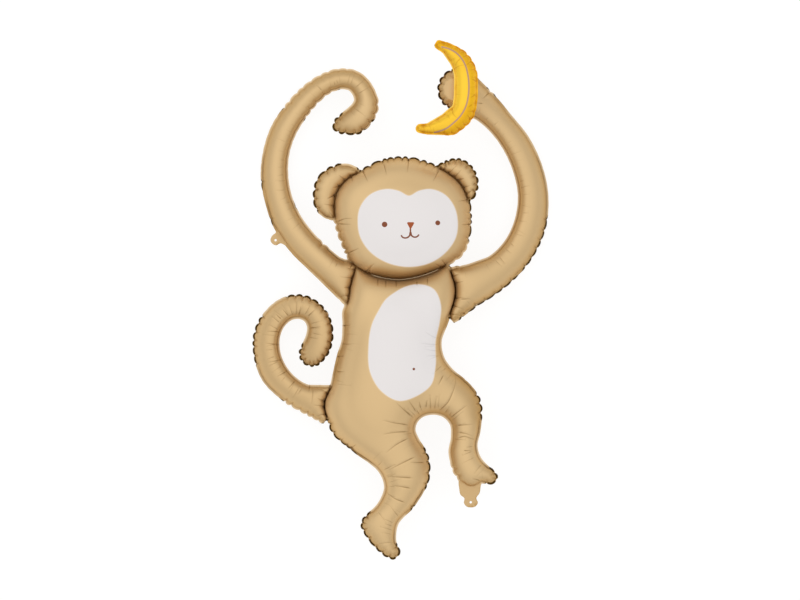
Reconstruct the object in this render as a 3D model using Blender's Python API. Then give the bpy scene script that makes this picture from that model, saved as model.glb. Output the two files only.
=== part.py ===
"""Monkey foil balloon holding a banana balloon, lying on its back.

The monkey is one envelope: two foil sheets welded round the rim and along the inner seams that part
the head, ears, arms and tail from the body, then blown up. The banana is a second, small envelope
stuck on the front of one hand. Outlines are in millimetres, seen from the front with +Y towards the
top of the head; the solids are made in metres, +Z towards the viewer, with the floor at z = 0.
"""

import math

import bpy
import numpy as np
from mathutils.geometry import delaunay_2d_cdt

MM = 0.001  # metres in a millimetre

# ---------------------------------------------------------------- foil and welds, mm
RIM = 6.0  # width of the flat weld round every free edge
BANANA_RIM = 4.0
SEAM = 4.0  # width of a weld between two blown-up parts
FOIL = 1.2  # thickness that the solid gives the two welded sheets
SCALLOP = 22.0  # length of one scallop in a gathered rim
PUCKER = 2.8  # depth of a full scallop
TAUT, GATHERED = 0.002, 0.007  # bend of the rim, per mm, where scallops start and where they are full
SLACK = 0.15  # share by which a wide part stays flatter than a round tube
NARROW, WIDE = 45.0, 90.0  # half thickness where that flattening starts and where it is full

# ---------------------------------------------------------------- spacing of the mesh, mm
WELD_STEP = 12.0
STEEP_RING = 4.0  # first ring of points inside a weld, where the foil rises steeply
FLANK_RING = 13.0  # second ring
CELL = 32.0  # points on the open foil

# ---------------------------------------------------------------- how the balloon lies, mm
PRESSED = 4.0  # depth to which the floor flattens the backs that lie on it
LEG_DROOP = 25.0  # how far the lower foot hangs below the body's weld plane
HELD = 6.0  # depth to which hand and banana press each other flat
CLEAR = 0.3  # gap between hand and banana

# ---------------------------------------------------------------- outlines of the blown-up parts, mm
HEAD = [(2, 53), (40, 59), (78, 71), (117, 91), (153, 117), (169, 159), (173, 205), (167, 252),
        (147, 292), (113, 319), (75, 337), (35, 349), (-6, 352), (-34, 348), (-62, 338), (-94, 321),
        (-129, 302), (-157, 267), (-162, 226), (-155, 182), (-138, 135), (-117, 94), (-82, 70), (-40, 57)]
EAR_LEFT = [(-110, 326), (-130, 335), (-153, 334), (-178, 324), (-201, 303), (-210, 272),
            (-209, 240), (-196, 218), (-177, 207), (-160, 205), (-130, 215), (-118, 270), (-96, 310)]
EAR_RIGHT = [(173, 252), (184, 266), (190, 290), (185, 314), (170, 336), (146, 348), (121, 344),
             (102, 335), (84, 315), (112, 290), (140, 258)]
SHOULDER_LEFT = [(-106, 86), (-113, 66), (-119, 46), (-123, 28), (-125, 8), (-129, -8), (-134, -18)]
SHOULDER_RIGHT = [(114, -58), (121, -38), (129, -16), (135, 6), (136, 34), (129, 58), (119, 82)]
TAIL_ROOT = [(-169, -216), (-180, -238), (-186, -256), (-186, -273), (-181, -290), (-172, -309)]
FLANK_LEFT = [(-137, -24), (-138, -60), (-141, -105), (-151, -136), (-159, -170), (-167, -207)]
LEGS = [(-167, -325), (-148, -347), (-124, -366), (-100, -385), (-73, -404), (-50, -425), (-38, -447),
        (-34, -470), (-41, -494), (-54, -516), (-74, -536), (-89, -552), (-92, -562), (-86, -577),
        (-70, -602), (-47, -626), (-31, -638), (-16, -643), (-7, -636), (-6, -627), (-13, -613),
        (-15, -582), (-8, -556), (7, -538), (23, -523), (39, -502), (54, -478), (65, -456), (69, -430),
        (67, -398), (56, -372), (41, -347), (33, -326), (37, -306), (51, -290), (81, -281),
        (111, -288), (130, -309), (133, -344), (127, -380), (131, -404), (138, -427), (148, -443),
        (156, -454), (166, -462), (180, -466), (194, -460), (204, -453), (215, -454), (230, -454),
        (239, -445), (234, -434), (218, -420), (197, -396), (188, -366), (195, -330), (199, -290),
        (196, -256), (183, -229), (160, -204), (126, -175), (107, -149), (99, -122), (99, -98),
        (106, -78)]
UNDER_CHIN = [(60, 85), (0, 70), (-60, 85)]  # the body runs on behind the head's weld line
# limbs: centreline with half widths, from the root to the tip
LEFT_ARM = [(-114, 36, 50), (-138, 46, 45), (-162, 66, 35.5), (-203, 102, 31.5), (-247, 146, 31.5),
            (-282, 195, 31), (-304, 250, 28.8), (-315, 312, 28.8), (-311, 368, 27.3), (-292, 426, 26.7),
            (-260, 475, 24.5), (-221, 518, 22.3), (-187, 542, 20.5), (-150, 554, 20.2), (-115, 548, 20.6),
            (-92, 522, 21.8), (-85, 487, 25.5), (-106, 456, 29.3), (-131, 441, 25.5), (-147, 438, 15.5)]
RIGHT_ARM = [(110, 8, 66), (134, 17, 61), (157, 29, 51), (196, 45, 45), (247, 74, 37.3), (293, 121, 35),
             (326, 189, 34.6), (334, 262, 32.6), (318, 336, 31.3), (292, 391, 30), (252, 443, 28.2),
             (217, 479, 32.2), (186, 503, 38), (149, 526, 48.5)]
TAIL = [(-176, -262, 45), (-190, -258, 39), (-206, -255, 35), (-240, -245, 29), (-284, -218, 27.4),
        (-316, -183, 29.2), (-333, -138, 27.9), (-334, -90, 27.2), (-313, -46, 25), (-280, -21, 24.5),
        (-246, -18, 24.2), (-219, -32, 23.6), (-202, -61, 25.4), (-202, -95, 28.3), (-211, -120, 29),
        (-220, -134, 26.5)]
BANANA = [(87.5, 643, 3.2), (91, 640.3, 6.3), (98, 636, 8), (118.5, 626, 12), (135.5, 612.5, 17.8),
          (153.5, 590, 22.5), (163, 565, 25), (164.5, 530, 26), (163, 497, 26), (155, 467, 26),
          (137, 450, 27), (118.5, 436.5, 25), (92, 426, 17.5), (70, 426.5, 10.7), (50.5, 427.5, 7.7)]

# ---------------------------------------------------------------- flat tabs with a hole for a ribbon, mm
ARM_TAB = [(-300, 195), (-311, 183), (-311, 170), (-321, 161), (-325, 150), (-320, 141), (-311, 137),
           (-300, 142), (-290, 138), (-278, 129), (-275, 160)]
ARM_HOLE = (-312, 150)
FOOT_TAB = [(150, -440), (147, -458), (148, -473), (152, -488), (161, -496), (160, -508), (167, -517),
            (177, -519), (188, -517), (195, -507), (191, -496), (199, -483), (202, -466), (206, -450),
            (180, -440)]
FOOT_HOLE = (177, -506)
HOLE = 3.0  # radius


def path(points, step, closed=False):
    """A smooth line through the points, which may carry further numbers, with a point about every step."""
    knots = np.array(points, float)
    if closed:
        knots = np.vstack([knots[-2:], knots, knots[:2]])
    chord = np.r_[0, np.cumsum(np.hypot(*np.diff(knots[:, :2], axis=0).T))]
    slope = np.gradient(knots, chord, axis=0)
    spans = range(2, len(knots) - 2) if closed else range(len(knots) - 1)
    line = []
    for i in spans:
        length = chord[i + 1] - chord[i]
        t = np.arange(count := max(2, round(length / step)))[:, None] / count
        line.append(
            (2 * t**3 - 3 * t**2 + 1) * knots[i] + (t**3 - 2 * t**2 + t) * length * slope[i]
            + (3 * t**2 - 2 * t**3) * knots[i + 1] + (t**3 - t**2) * length * slope[i + 1]
        )
    return np.vstack(line if closed else line + [knots[-1:]])


def inside(points, outline):
    """Which of the points lie within a closed outline."""
    x, y = points[:, :1], points[:, 1:2]
    a, b = outline, np.roll(outline, -1, axis=0)
    rise = np.where(b[:, 1] == a[:, 1], 1, b[:, 1] - a[:, 1])
    crossed = ((a[:, 1] > y) != (b[:, 1] > y)) & (x < a[:, 0] + (y - a[:, 1]) * (b[:, 0] - a[:, 0]) / rise)
    return np.sum(crossed, axis=1) % 2 == 1


def gap(points, outline):
    """How far each point is from a closed outline."""
    side = np.roll(outline, -1, axis=0) - outline
    best = np.full(len(points), np.inf)
    for a, d in zip(outline, side):
        to = points - a
        t = np.clip(to @ d / (d @ d), 0, 1)
        best = np.minimum(best, np.hypot(to[:, 0] - t * d[0], to[:, 1] - t * d[1]))
    return best


def resample(outline, step):
    """A closed outline with its points spread about a step apart between its sharp corners."""
    side = np.roll(outline, -1, axis=0) - outline
    back = np.roll(side, 1, axis=0)
    turn = np.arctan2(back[:, 0] * side[:, 1] - back[:, 1] * side[:, 0], np.sum(back * side, axis=1))
    corners = np.nonzero(np.abs(turn) > 0.4)[0]
    corners = corners if len(corners) else np.array([0])
    spread = []
    for first, last in zip(corners, np.r_[corners[1:], corners[0] + len(outline)]):
        piece = outline[np.arange(first, last + 1) % len(outline)]
        run = np.r_[0, np.cumsum(np.hypot(*np.diff(piece, axis=0).T))]
        at = np.arange(count := max(1, round(run[-1] / step))) * run[-1] / count
        spread.append(np.c_[np.interp(at, run, piece[:, 0]), np.interp(at, run, piece[:, 1])])
    return np.vstack(spread)


def outward(outline):
    """Unit normals of a closed counter-clockwise outline."""
    along = np.roll(outline, -1, axis=0) - np.roll(outline, 1, axis=0)
    return np.c_[along[:, 1], -along[:, 0]] / np.hypot(*along.T)[:, None]


def offset(outline, distance):
    """The outline moved out, or in for a negative distance, without the loops that inner corners give."""
    moved = outline + outward(outline) * distance
    clear = (gap(moved, outline) > abs(distance) * 0.985) & (inside(moved, outline) == (distance < 0))
    return moved[clear]


def combine(a, b, joined):
    """Outline a joined to outline b, or cut back to where b leaves it; b crosses a twice or misses it."""
    ra, rb = np.roll(a, -1, axis=0) - a, np.roll(b, -1, axis=0) - b
    w = b - a[:, None]
    turn = ra[:, None, 0] * rb[:, 1] - ra[:, None, 1] * rb[:, 0]
    turn[turn == 0] = 1e-9
    t = (w[..., 0] * rb[:, 1] - w[..., 1] * rb[:, 0]) / turn
    u = (w[..., 0] * ra[:, None, 1] - w[..., 1] * ra[:, None, 0]) / turn
    i, j = np.nonzero((t >= 0) & (t < 1) & (u >= 0) & (u < 1))
    if len(i) != 2:
        return a
    at = a[i] + t[i, j][:, None] * ra[i]

    def run(line, start, end):
        return np.roll(line, -start - 1, axis=0)[: (end - start) % len(line)]

    free = run(a, i[0], i[1])
    first, last = (1, 0) if inside(free[len(free) // 2 :][:1], b)[0] else (0, 1)
    rest = run(b, j[last], j[first]) if joined else run(b, j[first], j[last])[::-1]
    return np.vstack([at[first], run(a, i[first], i[last]), at[last], rest])


def limb(spine):
    """Outline of a limb from its centreline and half widths, round at the tip."""
    line = path(spine, 3)
    along = np.gradient(line[:, :2], axis=0)
    along /= np.hypot(*along.T)[:, None]
    side = np.c_[-along[:, 1], along[:, 0]] * line[:, 2:]
    turn = np.radians(np.arange(-80, 81, 10))[:, None]
    cap = line[-1, :2] + np.cos(turn) * along[-1] * line[-1, 2] + np.sin(turn) * side[-1]
    outline = np.vstack([line[:, :2] - side, cap, (line[:, :2] + side)[::-1]])
    apart = np.hypot(*(outline[:, None] - line[:, :2]).transpose(2, 0, 1)) - line[:, 2]
    return outline[apart.min(axis=1) > -0.6]


def chambers():
    """The weld line round each blown-up part of the monkey, the body first."""
    head = path(HEAD, 3, closed=True)
    body = SHOULDER_LEFT + FLANK_LEFT + TAIL_ROOT + LEGS + SHOULDER_RIGHT + UNDER_CHIN
    torso = combine(path(body, 3, closed=True), offset(head, SEAM), joined=False)
    parts = {"torso": torso, "head": head}
    for name, points in (("left ear", EAR_LEFT), ("right ear", EAR_RIGHT)):
        parts[name] = combine(path(points, 3, closed=True), offset(head, SEAM), joined=False)
    trunk = combine(offset(torso, SEAM), offset(head, SEAM), joined=True)
    for name, spine in (("left arm", LEFT_ARM), ("right arm", RIGHT_ARM), ("tail", TAIL)):
        parts[name] = combine(limb(spine), trunk, joined=False)
    return parts


def gathered(edge):
    """The rim drawn into scallops where it bends round a blown-up part, with the points that they need."""
    loop = np.vstack([edge, edge[:1]])
    run = np.r_[0, np.cumsum(np.hypot(*np.diff(loop, axis=0).T))]
    count = round(run[-1] / SCALLOP) * 12
    at = np.arange(count) * run[-1] / count
    edge = np.c_[np.interp(at, run, loop[:, 0]), np.interp(at, run, loop[:, 1])]
    normal = outward(edge)
    far = 14
    before, after = np.roll(normal, far, axis=0), np.roll(normal, -far, axis=0)
    turn = np.arctan2(before[:, 0] * after[:, 1] - before[:, 1] * after[:, 0], np.sum(before * after, axis=1))
    bend = turn / (2 * far * SCALLOP / 12)
    t = np.clip((bend - TAUT) / (GATHERED - TAUT), 0, 1)
    depth = PUCKER * t * t * (3 - 2 * t)
    place = np.arange(count) % 12
    edge = edge + normal * (depth * (np.sin(np.pi * place / 12) - 0.64))[:, None]
    deep = depth > 0.5 * PUCKER
    return edge[np.where(deep, place % 4 == 0, place % 6 == 0)]


def thinned(outline, least):
    """The outline without points closer than the least distance to the one before."""
    kept = [outline[0]]
    for point in outline[1:]:
        if np.hypot(*(point - kept[-1])) > least and np.hypot(*(point - kept[0])) > least:
            kept.append(point)
    return np.array(kept)


def ring(centre, radius, count):
    """A round loop."""
    turn = np.arange(count) * 2 * np.pi / count
    return np.c_[centre[0] + radius * np.cos(turn), centre[1] + radius * np.sin(turn)]


def sheet(edges, welds, spines, flat):
    """One flat sheet cut into triangles: its points, the part of each, which are free, and the triangles.

    Edges are the outer rim and the holes, welds the parts' weld lines, and flat further points on the tabs.
    """
    loops = edges + [resample(weld, WELD_STEP) for weld in welds]
    points = np.vstack(loops)
    links, start = [], 0
    for loop in loops:
        links += [(start + i, start + (i + 1) % len(loop)) for i in range(len(loop))]
        start += len(loop)
    welded = start
    line = np.vstack(loops[len(edges) :])
    owner = np.repeat(np.arange(len(welds)), [len(loop) for loop in loops[len(edges) :]])
    part = [owner[np.argmin(np.hypot(*(line - point).T))] for point in points]
    if len(flat):
        part += [owner[np.argmin(np.hypot(*(line - point).T))] for point in flat]
        points = np.vstack([points, flat])
        welded = len(points)
    x, y = np.meshgrid(np.arange(-16, 17), np.arange(-30, 31))
    lattice = np.c_[(x + y % 2 * 0.5).ravel(), y.ravel() * 0.866] * CELL
    for k, (weld, spine) in enumerate(zip(welds, spines)):
        rings = [resample(offset(weld, -STEEP_RING), WELD_STEP * 1.3)]
        rings.append(resample(offset(weld, -FLANK_RING), WELD_STEP * 2.3))
        inner = lattice if spine is None else np.vstack([path(spine, CELL)[:, :2], lattice])
        inner = inner[inside(inner, weld)]
        inner = inner[gap(inner, weld) > FLANK_RING + 8]
        kept = []
        for point in inner:
            if not kept or np.hypot(*(np.array(kept) - point).T).min() > 0.75 * CELL:
                kept.append(point)
        own = np.vstack(rings + ([kept] if kept else []))
        own = own[inside(own, weld)]
        points = np.vstack([points, own])
        part += [k] * len(own)
    flat_points = [tuple(point) for point in points]
    _, _, faces, *_ = delaunay_2d_cdt(flat_points, links, [], 0, 1e-5)
    triangles = np.array(faces)
    centre = points[triangles].mean(axis=1)
    within = inside(centre, edges[0])
    for hole in edges[1:]:
        within &= ~inside(centre, hole)
    triangles = triangles[within]
    corner = points[triangles]
    a, b = corner[:, 1] - corner[:, 0], corner[:, 2] - corner[:, 0]
    clockwise = a[:, 0] * b[:, 1] < a[:, 1] * b[:, 0]
    triangles[clockwise] = triangles[clockwise][:, ::-1]
    return points, np.array(part), np.arange(len(points)) >= welded, triangles


def bulge(points, triangles, free):
    """Half thickness of the blown-up sheet, the root of a soap film's rise: a long part is a round tube."""
    corner = points[triangles]
    side = np.roll(corner, 1, axis=1) - np.roll(corner, -1, axis=1)
    twice = np.abs(side[:, 0, 0] * side[:, 1, 1] - side[:, 0, 1] * side[:, 1, 0])
    stiff = np.zeros((len(points), len(points)))
    pull = side @ side.transpose(0, 2, 1) / (2 * twice)[:, None, None]
    np.add.at(stiff, (triangles[:, :, None], triangles[:, None, :]), pull)
    load = np.bincount(triangles.ravel(), np.repeat(twice / 3, 3), len(points))
    rise = np.zeros(len(points))
    rise[free] = np.linalg.solve(stiff[np.ix_(free, free)], load[free])
    half = np.sqrt(np.maximum(rise, 0))
    t = np.clip((half - NARROW) / (WIDE - NARROW), 0, 1)
    return half * (1 - SLACK * t * t * (3 - 2 * t))


def beyond(points, hinge):
    """Distance of the points to the left of the line from a hinge's first point to its second."""
    (ax, ay), (bx, by) = hinge
    return ((points[:, 1] - ay) * (bx - ax) - (points[:, 0] - ax) * (by - ay)) / math.hypot(bx - ax, by - ay)


def solid(name, points, triangles, sharp, front, back, color, roughness):
    """One closed body from the front and back of a sheet, which meet in a sharp edge at the rim."""
    number = np.cumsum(~sharp) - 1 + len(points)
    under = np.where(sharp, np.arange(len(points)), number)
    verts = np.vstack([np.c_[points, front], np.c_[points, back][~sharp]]) * MM
    faces = np.vstack([triangles, under[triangles][:, ::-1]])
    mesh = bpy.data.meshes.new(name)
    mesh.from_pydata(verts.tolist(), [], faces.tolist())
    mesh.validate()
    made = bpy.data.objects.new(name, mesh)
    bpy.context.scene.collection.objects.link(made)
    material = bpy.data.materials.new(name)
    material.use_nodes = True
    shader = material.node_tree.nodes["Principled BSDF"]
    shader.inputs["Base Color"].default_value = (*color, 1)
    shader.inputs["Metallic"].default_value = 0.9
    shader.inputs["Roughness"].default_value = roughness
    mesh.materials.append(material)
    print(name, len(faces), "triangles", verts.min(axis=0).round(4), verts.max(axis=0).round(4))
    return made


for old in list(bpy.data.objects):
    bpy.data.objects.remove(old)

# ---------------------------------------------------------------- the flat sheets
parts = chambers()
names = list(parts)
edge = offset(parts["torso"], RIM)
for name in names[1:]:
    edge = combine(edge, offset(parts[name], RIM), joined=True)
edge = gathered(edge)
for tab in (ARM_TAB, FOOT_TAB):
    edge = combine(edge, path(tab, 5, closed=True), joined=True)
edge = thinned(edge, 3)
holes = [ring(ARM_HOLE, HOLE, 10), ring(FOOT_HOLE, HOLE, 10)]
tab_faces = [ring(ARM_HOLE, 4.5, 10), ring(ARM_HOLE, 9, 10), ring(FOOT_HOLE, 4.5, 10), ring(FOOT_HOLE, 9, 10),
             [(166, -486), (176, -484), (187, -486), (163, -474), (176, -474), (190, -474)]]
spines = {"left arm": LEFT_ARM, "right arm": RIGHT_ARM, "tail": TAIL}
points, part, free, triangles = sheet(
    [edge] + holes, list(parts.values()), [spines.get(name) for name in names], np.vstack(tab_faces))
half = bulge(points, triangles, free)

# ---------------------------------------------------------------- the monkey lies down
axis = half[part == 0].max() - PRESSED
middle = np.full(len(points), axis)
hinges = {"head": ((-60, 60), (60, 60)), "left arm": (SHOULDER_LEFT[-1], SHOULDER_LEFT[0]),
          "right arm": (SHOULDER_RIGHT[-1], SHOULDER_RIGHT[0]), "tail": (TAIL_ROOT[-1], TAIL_ROOT[0])}
for name, hinge in hinges.items():
    own = part == names.index(name)
    reach = beyond(points, hinge)
    far = own & (reach > 40)
    fall = np.min((axis + PRESSED - half[far]) / reach[far])
    if name == "head":
        own |= (part == names.index("left ear")) | (part == names.index("right ear"))
    middle[own] = axis - fall * reach[own]
    print(name, "falls", round(float(fall), 3))
low = (part == 0) & (points[:, 1] < -250)
middle[low] -= LEG_DROOP * ((-250 - points[low, 1]) / 390) ** 2
sharp = np.arange(len(points)) < len(edge) + 2 * len(holes[0])
half[~sharp] = np.maximum(half[~sharp], FOIL / 2)
half[sharp] = 0
front, back = middle + half, np.maximum(middle - half, 0)

# ---------------------------------------------------------------- the banana on the hand
banana = limb(BANANA)
banana_edge = thinned(resample(offset(banana, BANANA_RIM), 8), 3)
b_points, _, b_free, b_triangles = sheet([banana_edge], [banana], [BANANA], [])
b_half = bulge(b_points, b_triangles, b_free)
hand = (part == names.index("right arm")) & (points[:, 1] > 400)
held = front[hand].max() - HELD
front[hand] = np.minimum(front[hand], held)
b_middle = held + CLEAR + b_half.max() - HELD
b_sharp = np.arange(len(b_points)) < len(banana_edge)
b_half[~b_sharp] = np.maximum(b_half[~b_sharp], FOIL / 2)
b_half[b_sharp] = 0
b_back = np.maximum(b_middle - b_half, held + CLEAR)

# ---------------------------------------------------------------- the two solids, centred over the origin
whole = np.vstack([points, b_points])
centre = (whole.min(axis=0) + whole.max(axis=0)) / 2
print("centre", centre, "axis", axis)
solid("monkey_balloon", points - centre, triangles, sharp, front, back, (0.52, 0.36, 0.19), 0.4)
b_front = b_middle + b_half
solid("banana_balloon", b_points - centre, b_triangles, b_sharp, b_front, b_back, (0.90, 0.55, 0.02), 0.35)
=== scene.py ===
"""A monkey foil balloon with a small banana balloon on its hand, lying on its back on a studio floor."""

import math

import bpy
import numpy as np
from mathutils.geometry import delaunay_2d_cdt
from mathutils.kdtree import KDTree
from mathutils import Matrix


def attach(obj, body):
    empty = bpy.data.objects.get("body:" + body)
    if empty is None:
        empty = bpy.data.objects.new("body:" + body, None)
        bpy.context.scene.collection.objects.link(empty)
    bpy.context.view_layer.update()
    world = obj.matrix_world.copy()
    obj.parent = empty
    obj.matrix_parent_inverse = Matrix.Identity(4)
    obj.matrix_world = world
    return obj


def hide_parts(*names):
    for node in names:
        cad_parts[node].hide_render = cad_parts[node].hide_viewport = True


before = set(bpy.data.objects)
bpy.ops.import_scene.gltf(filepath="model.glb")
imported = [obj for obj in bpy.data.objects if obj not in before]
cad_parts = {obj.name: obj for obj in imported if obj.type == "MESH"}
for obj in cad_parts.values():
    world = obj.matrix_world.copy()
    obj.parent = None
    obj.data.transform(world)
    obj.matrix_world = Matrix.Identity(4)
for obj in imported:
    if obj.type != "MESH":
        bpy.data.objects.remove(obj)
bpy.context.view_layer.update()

# ---------------------------------------------------------------------------------------------
# Monkey balloon. Two sheets of satin foil are laid on each other, welded along these lines and cut
# out just outside them. The inner welds part the head, ears, arms and tail from the body. All sizes
# are in millimetres on the flat sheet, +Y towards the top of the head.
# ---------------------------------------------------------------------------------------------
RIM = 6.0  # width of the flat weld round every free edge
SEAM = 4.0  # width of a weld between two blown-up parts
HEAD = [(2, 53), (40, 59), (78, 71), (117, 91), (153, 117), (169, 159), (173, 205), (167, 252),
        (147, 292), (113, 319), (75, 337), (35, 349), (-6, 352), (-34, 348), (-62, 338), (-94, 321),
        (-129, 302), (-157, 267), (-162, 226), (-155, 182), (-138, 135), (-117, 94), (-82, 70), (-40, 57)]
EAR_LEFT = [(-110, 326), (-130, 335), (-153, 334), (-178, 324), (-201, 303), (-210, 272),
            (-209, 240), (-196, 218), (-177, 207), (-160, 205), (-130, 215), (-118, 270), (-96, 310)]
EAR_RIGHT = [(173, 252), (184, 266), (190, 290), (185, 314), (170, 336), (146, 348), (121, 344),
             (102, 335), (84, 315), (112, 290), (140, 258)]
SHOULDER_LEFT = [(-106, 86), (-113, 66), (-119, 46), (-123, 28), (-125, 8), (-129, -8), (-134, -18)]
SHOULDER_RIGHT = [(114, -58), (121, -38), (129, -16), (135, 6), (136, 34), (129, 58), (119, 82)]
TAIL_ROOT = [(-169, -216), (-180, -238), (-186, -256), (-186, -273), (-181, -290), (-172, -309)]
FLANK_LEFT = [(-137, -24), (-138, -60), (-141, -105), (-151, -136), (-159, -170), (-167, -207)]
LEGS = [(-167, -325), (-148, -347), (-124, -366), (-100, -385), (-73, -404), (-50, -425), (-38, -447),
        (-34, -470), (-41, -494), (-54, -516), (-74, -536), (-89, -552), (-92, -562), (-86, -577),
        (-70, -602), (-47, -626), (-31, -638), (-16, -643), (-7, -636), (-6, -627), (-13, -613),
        (-15, -582), (-8, -556), (7, -538), (23, -523), (39, -502), (54, -478), (65, -456), (69, -430),
        (67, -398), (56, -372), (41, -347), (33, -326), (37, -306), (51, -290), (81, -281),
        (111, -288), (130, -309), (133, -344), (127, -380), (131, -404), (138, -427), (148, -443),
        (156, -454), (166, -462), (180, -466), (194, -460), (204, -453), (215, -454), (230, -454),
        (239, -445), (234, -434), (218, -420), (197, -396), (188, -366), (195, -330), (199, -290),
        (196, -256), (183, -229), (160, -204), (126, -175), (107, -149), (99, -122), (99, -98),
        (106, -78)]
UNDER_CHIN = [(60, 85), (0, 70), (-60, 85)]
# limbs: centreline with half widths, from the root to the tip
LEFT_ARM = [(-114, 36, 50), (-138, 46, 45), (-162, 66, 35.5), (-203, 102, 31.5), (-247, 146, 31.5),
            (-282, 195, 31), (-304, 250, 28.8), (-315, 312, 28.8), (-311, 368, 27.3), (-292, 426, 26.7),
            (-260, 475, 24.5), (-221, 518, 22.3), (-187, 542, 20.5), (-150, 554, 20.2), (-115, 548, 20.6),
            (-92, 522, 21.8), (-85, 487, 25.5), (-106, 456, 29.3), (-131, 441, 25.5), (-147, 438, 15.5)]
RIGHT_ARM = [(110, 8, 66), (134, 17, 61), (157, 29, 51), (196, 45, 45), (247, 74, 37.3), (293, 121, 35),
             (326, 189, 34.6), (334, 262, 32.6), (318, 336, 31.3), (292, 391, 30), (252, 443, 28.2),
             (217, 479, 32.2), (186, 503, 38), (149, 526, 48.5)]
TAIL = [(-176, -262, 45), (-190, -258, 39), (-206, -255, 35), (-240, -245, 29), (-284, -218, 27.4),
        (-316, -183, 29.2), (-333, -138, 27.9), (-334, -90, 27.2), (-313, -46, 25), (-280, -21, 24.5),
        (-246, -18, 24.2), (-219, -32, 23.6), (-202, -61, 25.4), (-202, -95, 28.3), (-211, -120, 29),
        (-220, -134, 26.5)]
ARM_TAB = [(-300, 195), (-311, 183), (-311, 170), (-321, 161), (-325, 150), (-320, 141), (-311, 137),
           (-300, 142), (-290, 138), (-278, 129), (-275, 160)]
ARM_HOLE = (-312, 150)
FOOT_TAB = [(150, -440), (147, -458), (148, -473), (152, -488), (161, -496), (160, -508), (167, -517),
            (177, -519), (188, -517), (195, -507), (191, -496), (199, -483), (202, -466), (206, -450),
            (180, -440)]
FOOT_HOLE = (177, -506)
HOLE = 3.0  # radius of a ribbon hole
CUT_STEP = 2.0  # distance between points on the cutting lines
CAP_STEP = 5  # degrees between points round the tip of a limb


def run_of(line):
    """How far along a line each of its points is."""
    return np.r_[0, np.cumsum(np.hypot(*np.diff(line, axis=0).T))]


def path(points, step, closed=False):
    """A smooth line through the points, which may carry further numbers, with a point about every step."""
    knots = np.array(points, float)
    if closed:
        knots = np.vstack([knots[-2:], knots, knots[:2]])
    chord = run_of(knots[:, :2])
    slope = np.gradient(knots, chord, axis=0)
    spans = range(2, len(knots) - 2) if closed else range(len(knots) - 1)
    line = []
    for i in spans:
        length = chord[i + 1] - chord[i]
        t = np.arange(count := max(2, round(length / step)))[:, None] / count
        line.append(
            (2 * t**3 - 3 * t**2 + 1) * knots[i] + (t**3 - 2 * t**2 + t) * length * slope[i]
            + (3 * t**2 - 2 * t**3) * knots[i + 1] + (t**3 - t**2) * length * slope[i + 1]
        )
    return np.vstack(line if closed else line + [knots[-1:]])


def inside(points, outline):
    """Which of the points lie within a closed outline."""
    found = np.zeros(len(points), bool)
    low, high = outline.min(axis=0), outline.max(axis=0)
    near = np.nonzero(np.all((points >= low) & (points <= high), axis=1))[0]
    a, b = outline, np.roll(outline, -1, axis=0)
    rise = np.where(b[:, 1] == a[:, 1], 1, b[:, 1] - a[:, 1])
    for some in np.array_split(near, len(near) // 4000 + 1):
        x, y = points[some, :1], points[some, 1:2]
        edge = a[:, 0] + (y - a[:, 1]) * (b[:, 0] - a[:, 0]) / rise
        crossed = ((a[:, 1] > y) != (b[:, 1] > y)) & (x < edge)
        found[some] = np.sum(crossed, axis=1) % 2 == 1
    return found


def gap(points, outline):
    """How far each point is from a closed outline."""
    side = np.roll(outline, -1, axis=0) - outline
    best = np.full(len(points), np.inf)
    for a, d in zip(outline, side):
        to = points - a
        t = np.clip(to @ d / (d @ d), 0, 1)
        best = np.minimum(best, np.hypot(to[:, 0] - t * d[0], to[:, 1] - t * d[1]))
    return best


def spread(outline, step):
    """A closed outline with its points evenly spread, about a step apart."""
    loop = np.vstack([outline, outline[:1]])
    run = run_of(loop)
    at = np.arange(count := max(8, round(run[-1] / step))) * run[-1] / count
    return np.c_[np.interp(at, run, loop[:, 0]), np.interp(at, run, loop[:, 1])]


def outward(outline):
    """Unit normals of a closed counter-clockwise outline."""
    along = np.roll(outline, -1, axis=0) - np.roll(outline, 1, axis=0)
    return np.c_[along[:, 1], -along[:, 0]] / np.hypot(*along.T)[:, None]


def offset(outline, distance):
    """The outline moved out, or in for a negative distance, without the loops that inner corners give."""
    moved = outline + outward(outline) * distance
    nearly = 0.985 * abs(distance)  # the outline is made of short straight pieces
    clear = (gap(moved, outline) > nearly) & (inside(moved, outline) == (distance < 0))
    return moved[clear]


def combine(a, b, joined):
    """Outline a joined to outline b, or cut back to where b leaves it; b crosses a twice or misses it."""
    ra, rb = np.roll(a, -1, axis=0) - a, np.roll(b, -1, axis=0) - b
    w = b - a[:, None]
    turn = ra[:, None, 0] * rb[:, 1] - ra[:, None, 1] * rb[:, 0]
    turn[turn == 0] = 1e-9
    t = (w[..., 0] * rb[:, 1] - w[..., 1] * rb[:, 0]) / turn
    u = (w[..., 0] * ra[:, None, 1] - w[..., 1] * ra[:, None, 0]) / turn
    i, j = np.nonzero((t >= 0) & (t < 1) & (u >= 0) & (u < 1))
    if len(i) != 2:
        return a
    at = a[i] + t[i, j][:, None] * ra[i]

    def run(line, start, end):
        return np.roll(line, -start - 1, axis=0)[: (end - start) % len(line)]

    free = run(a, i[0], i[1])
    first, last = (1, 0) if inside(free[len(free) // 2 :][:1], b)[0] else (0, 1)
    rest = run(b, j[last], j[first]) if joined else run(b, j[first], j[last])[::-1]
    return np.vstack([at[first], run(a, i[first], i[last]), at[last], rest])


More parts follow.
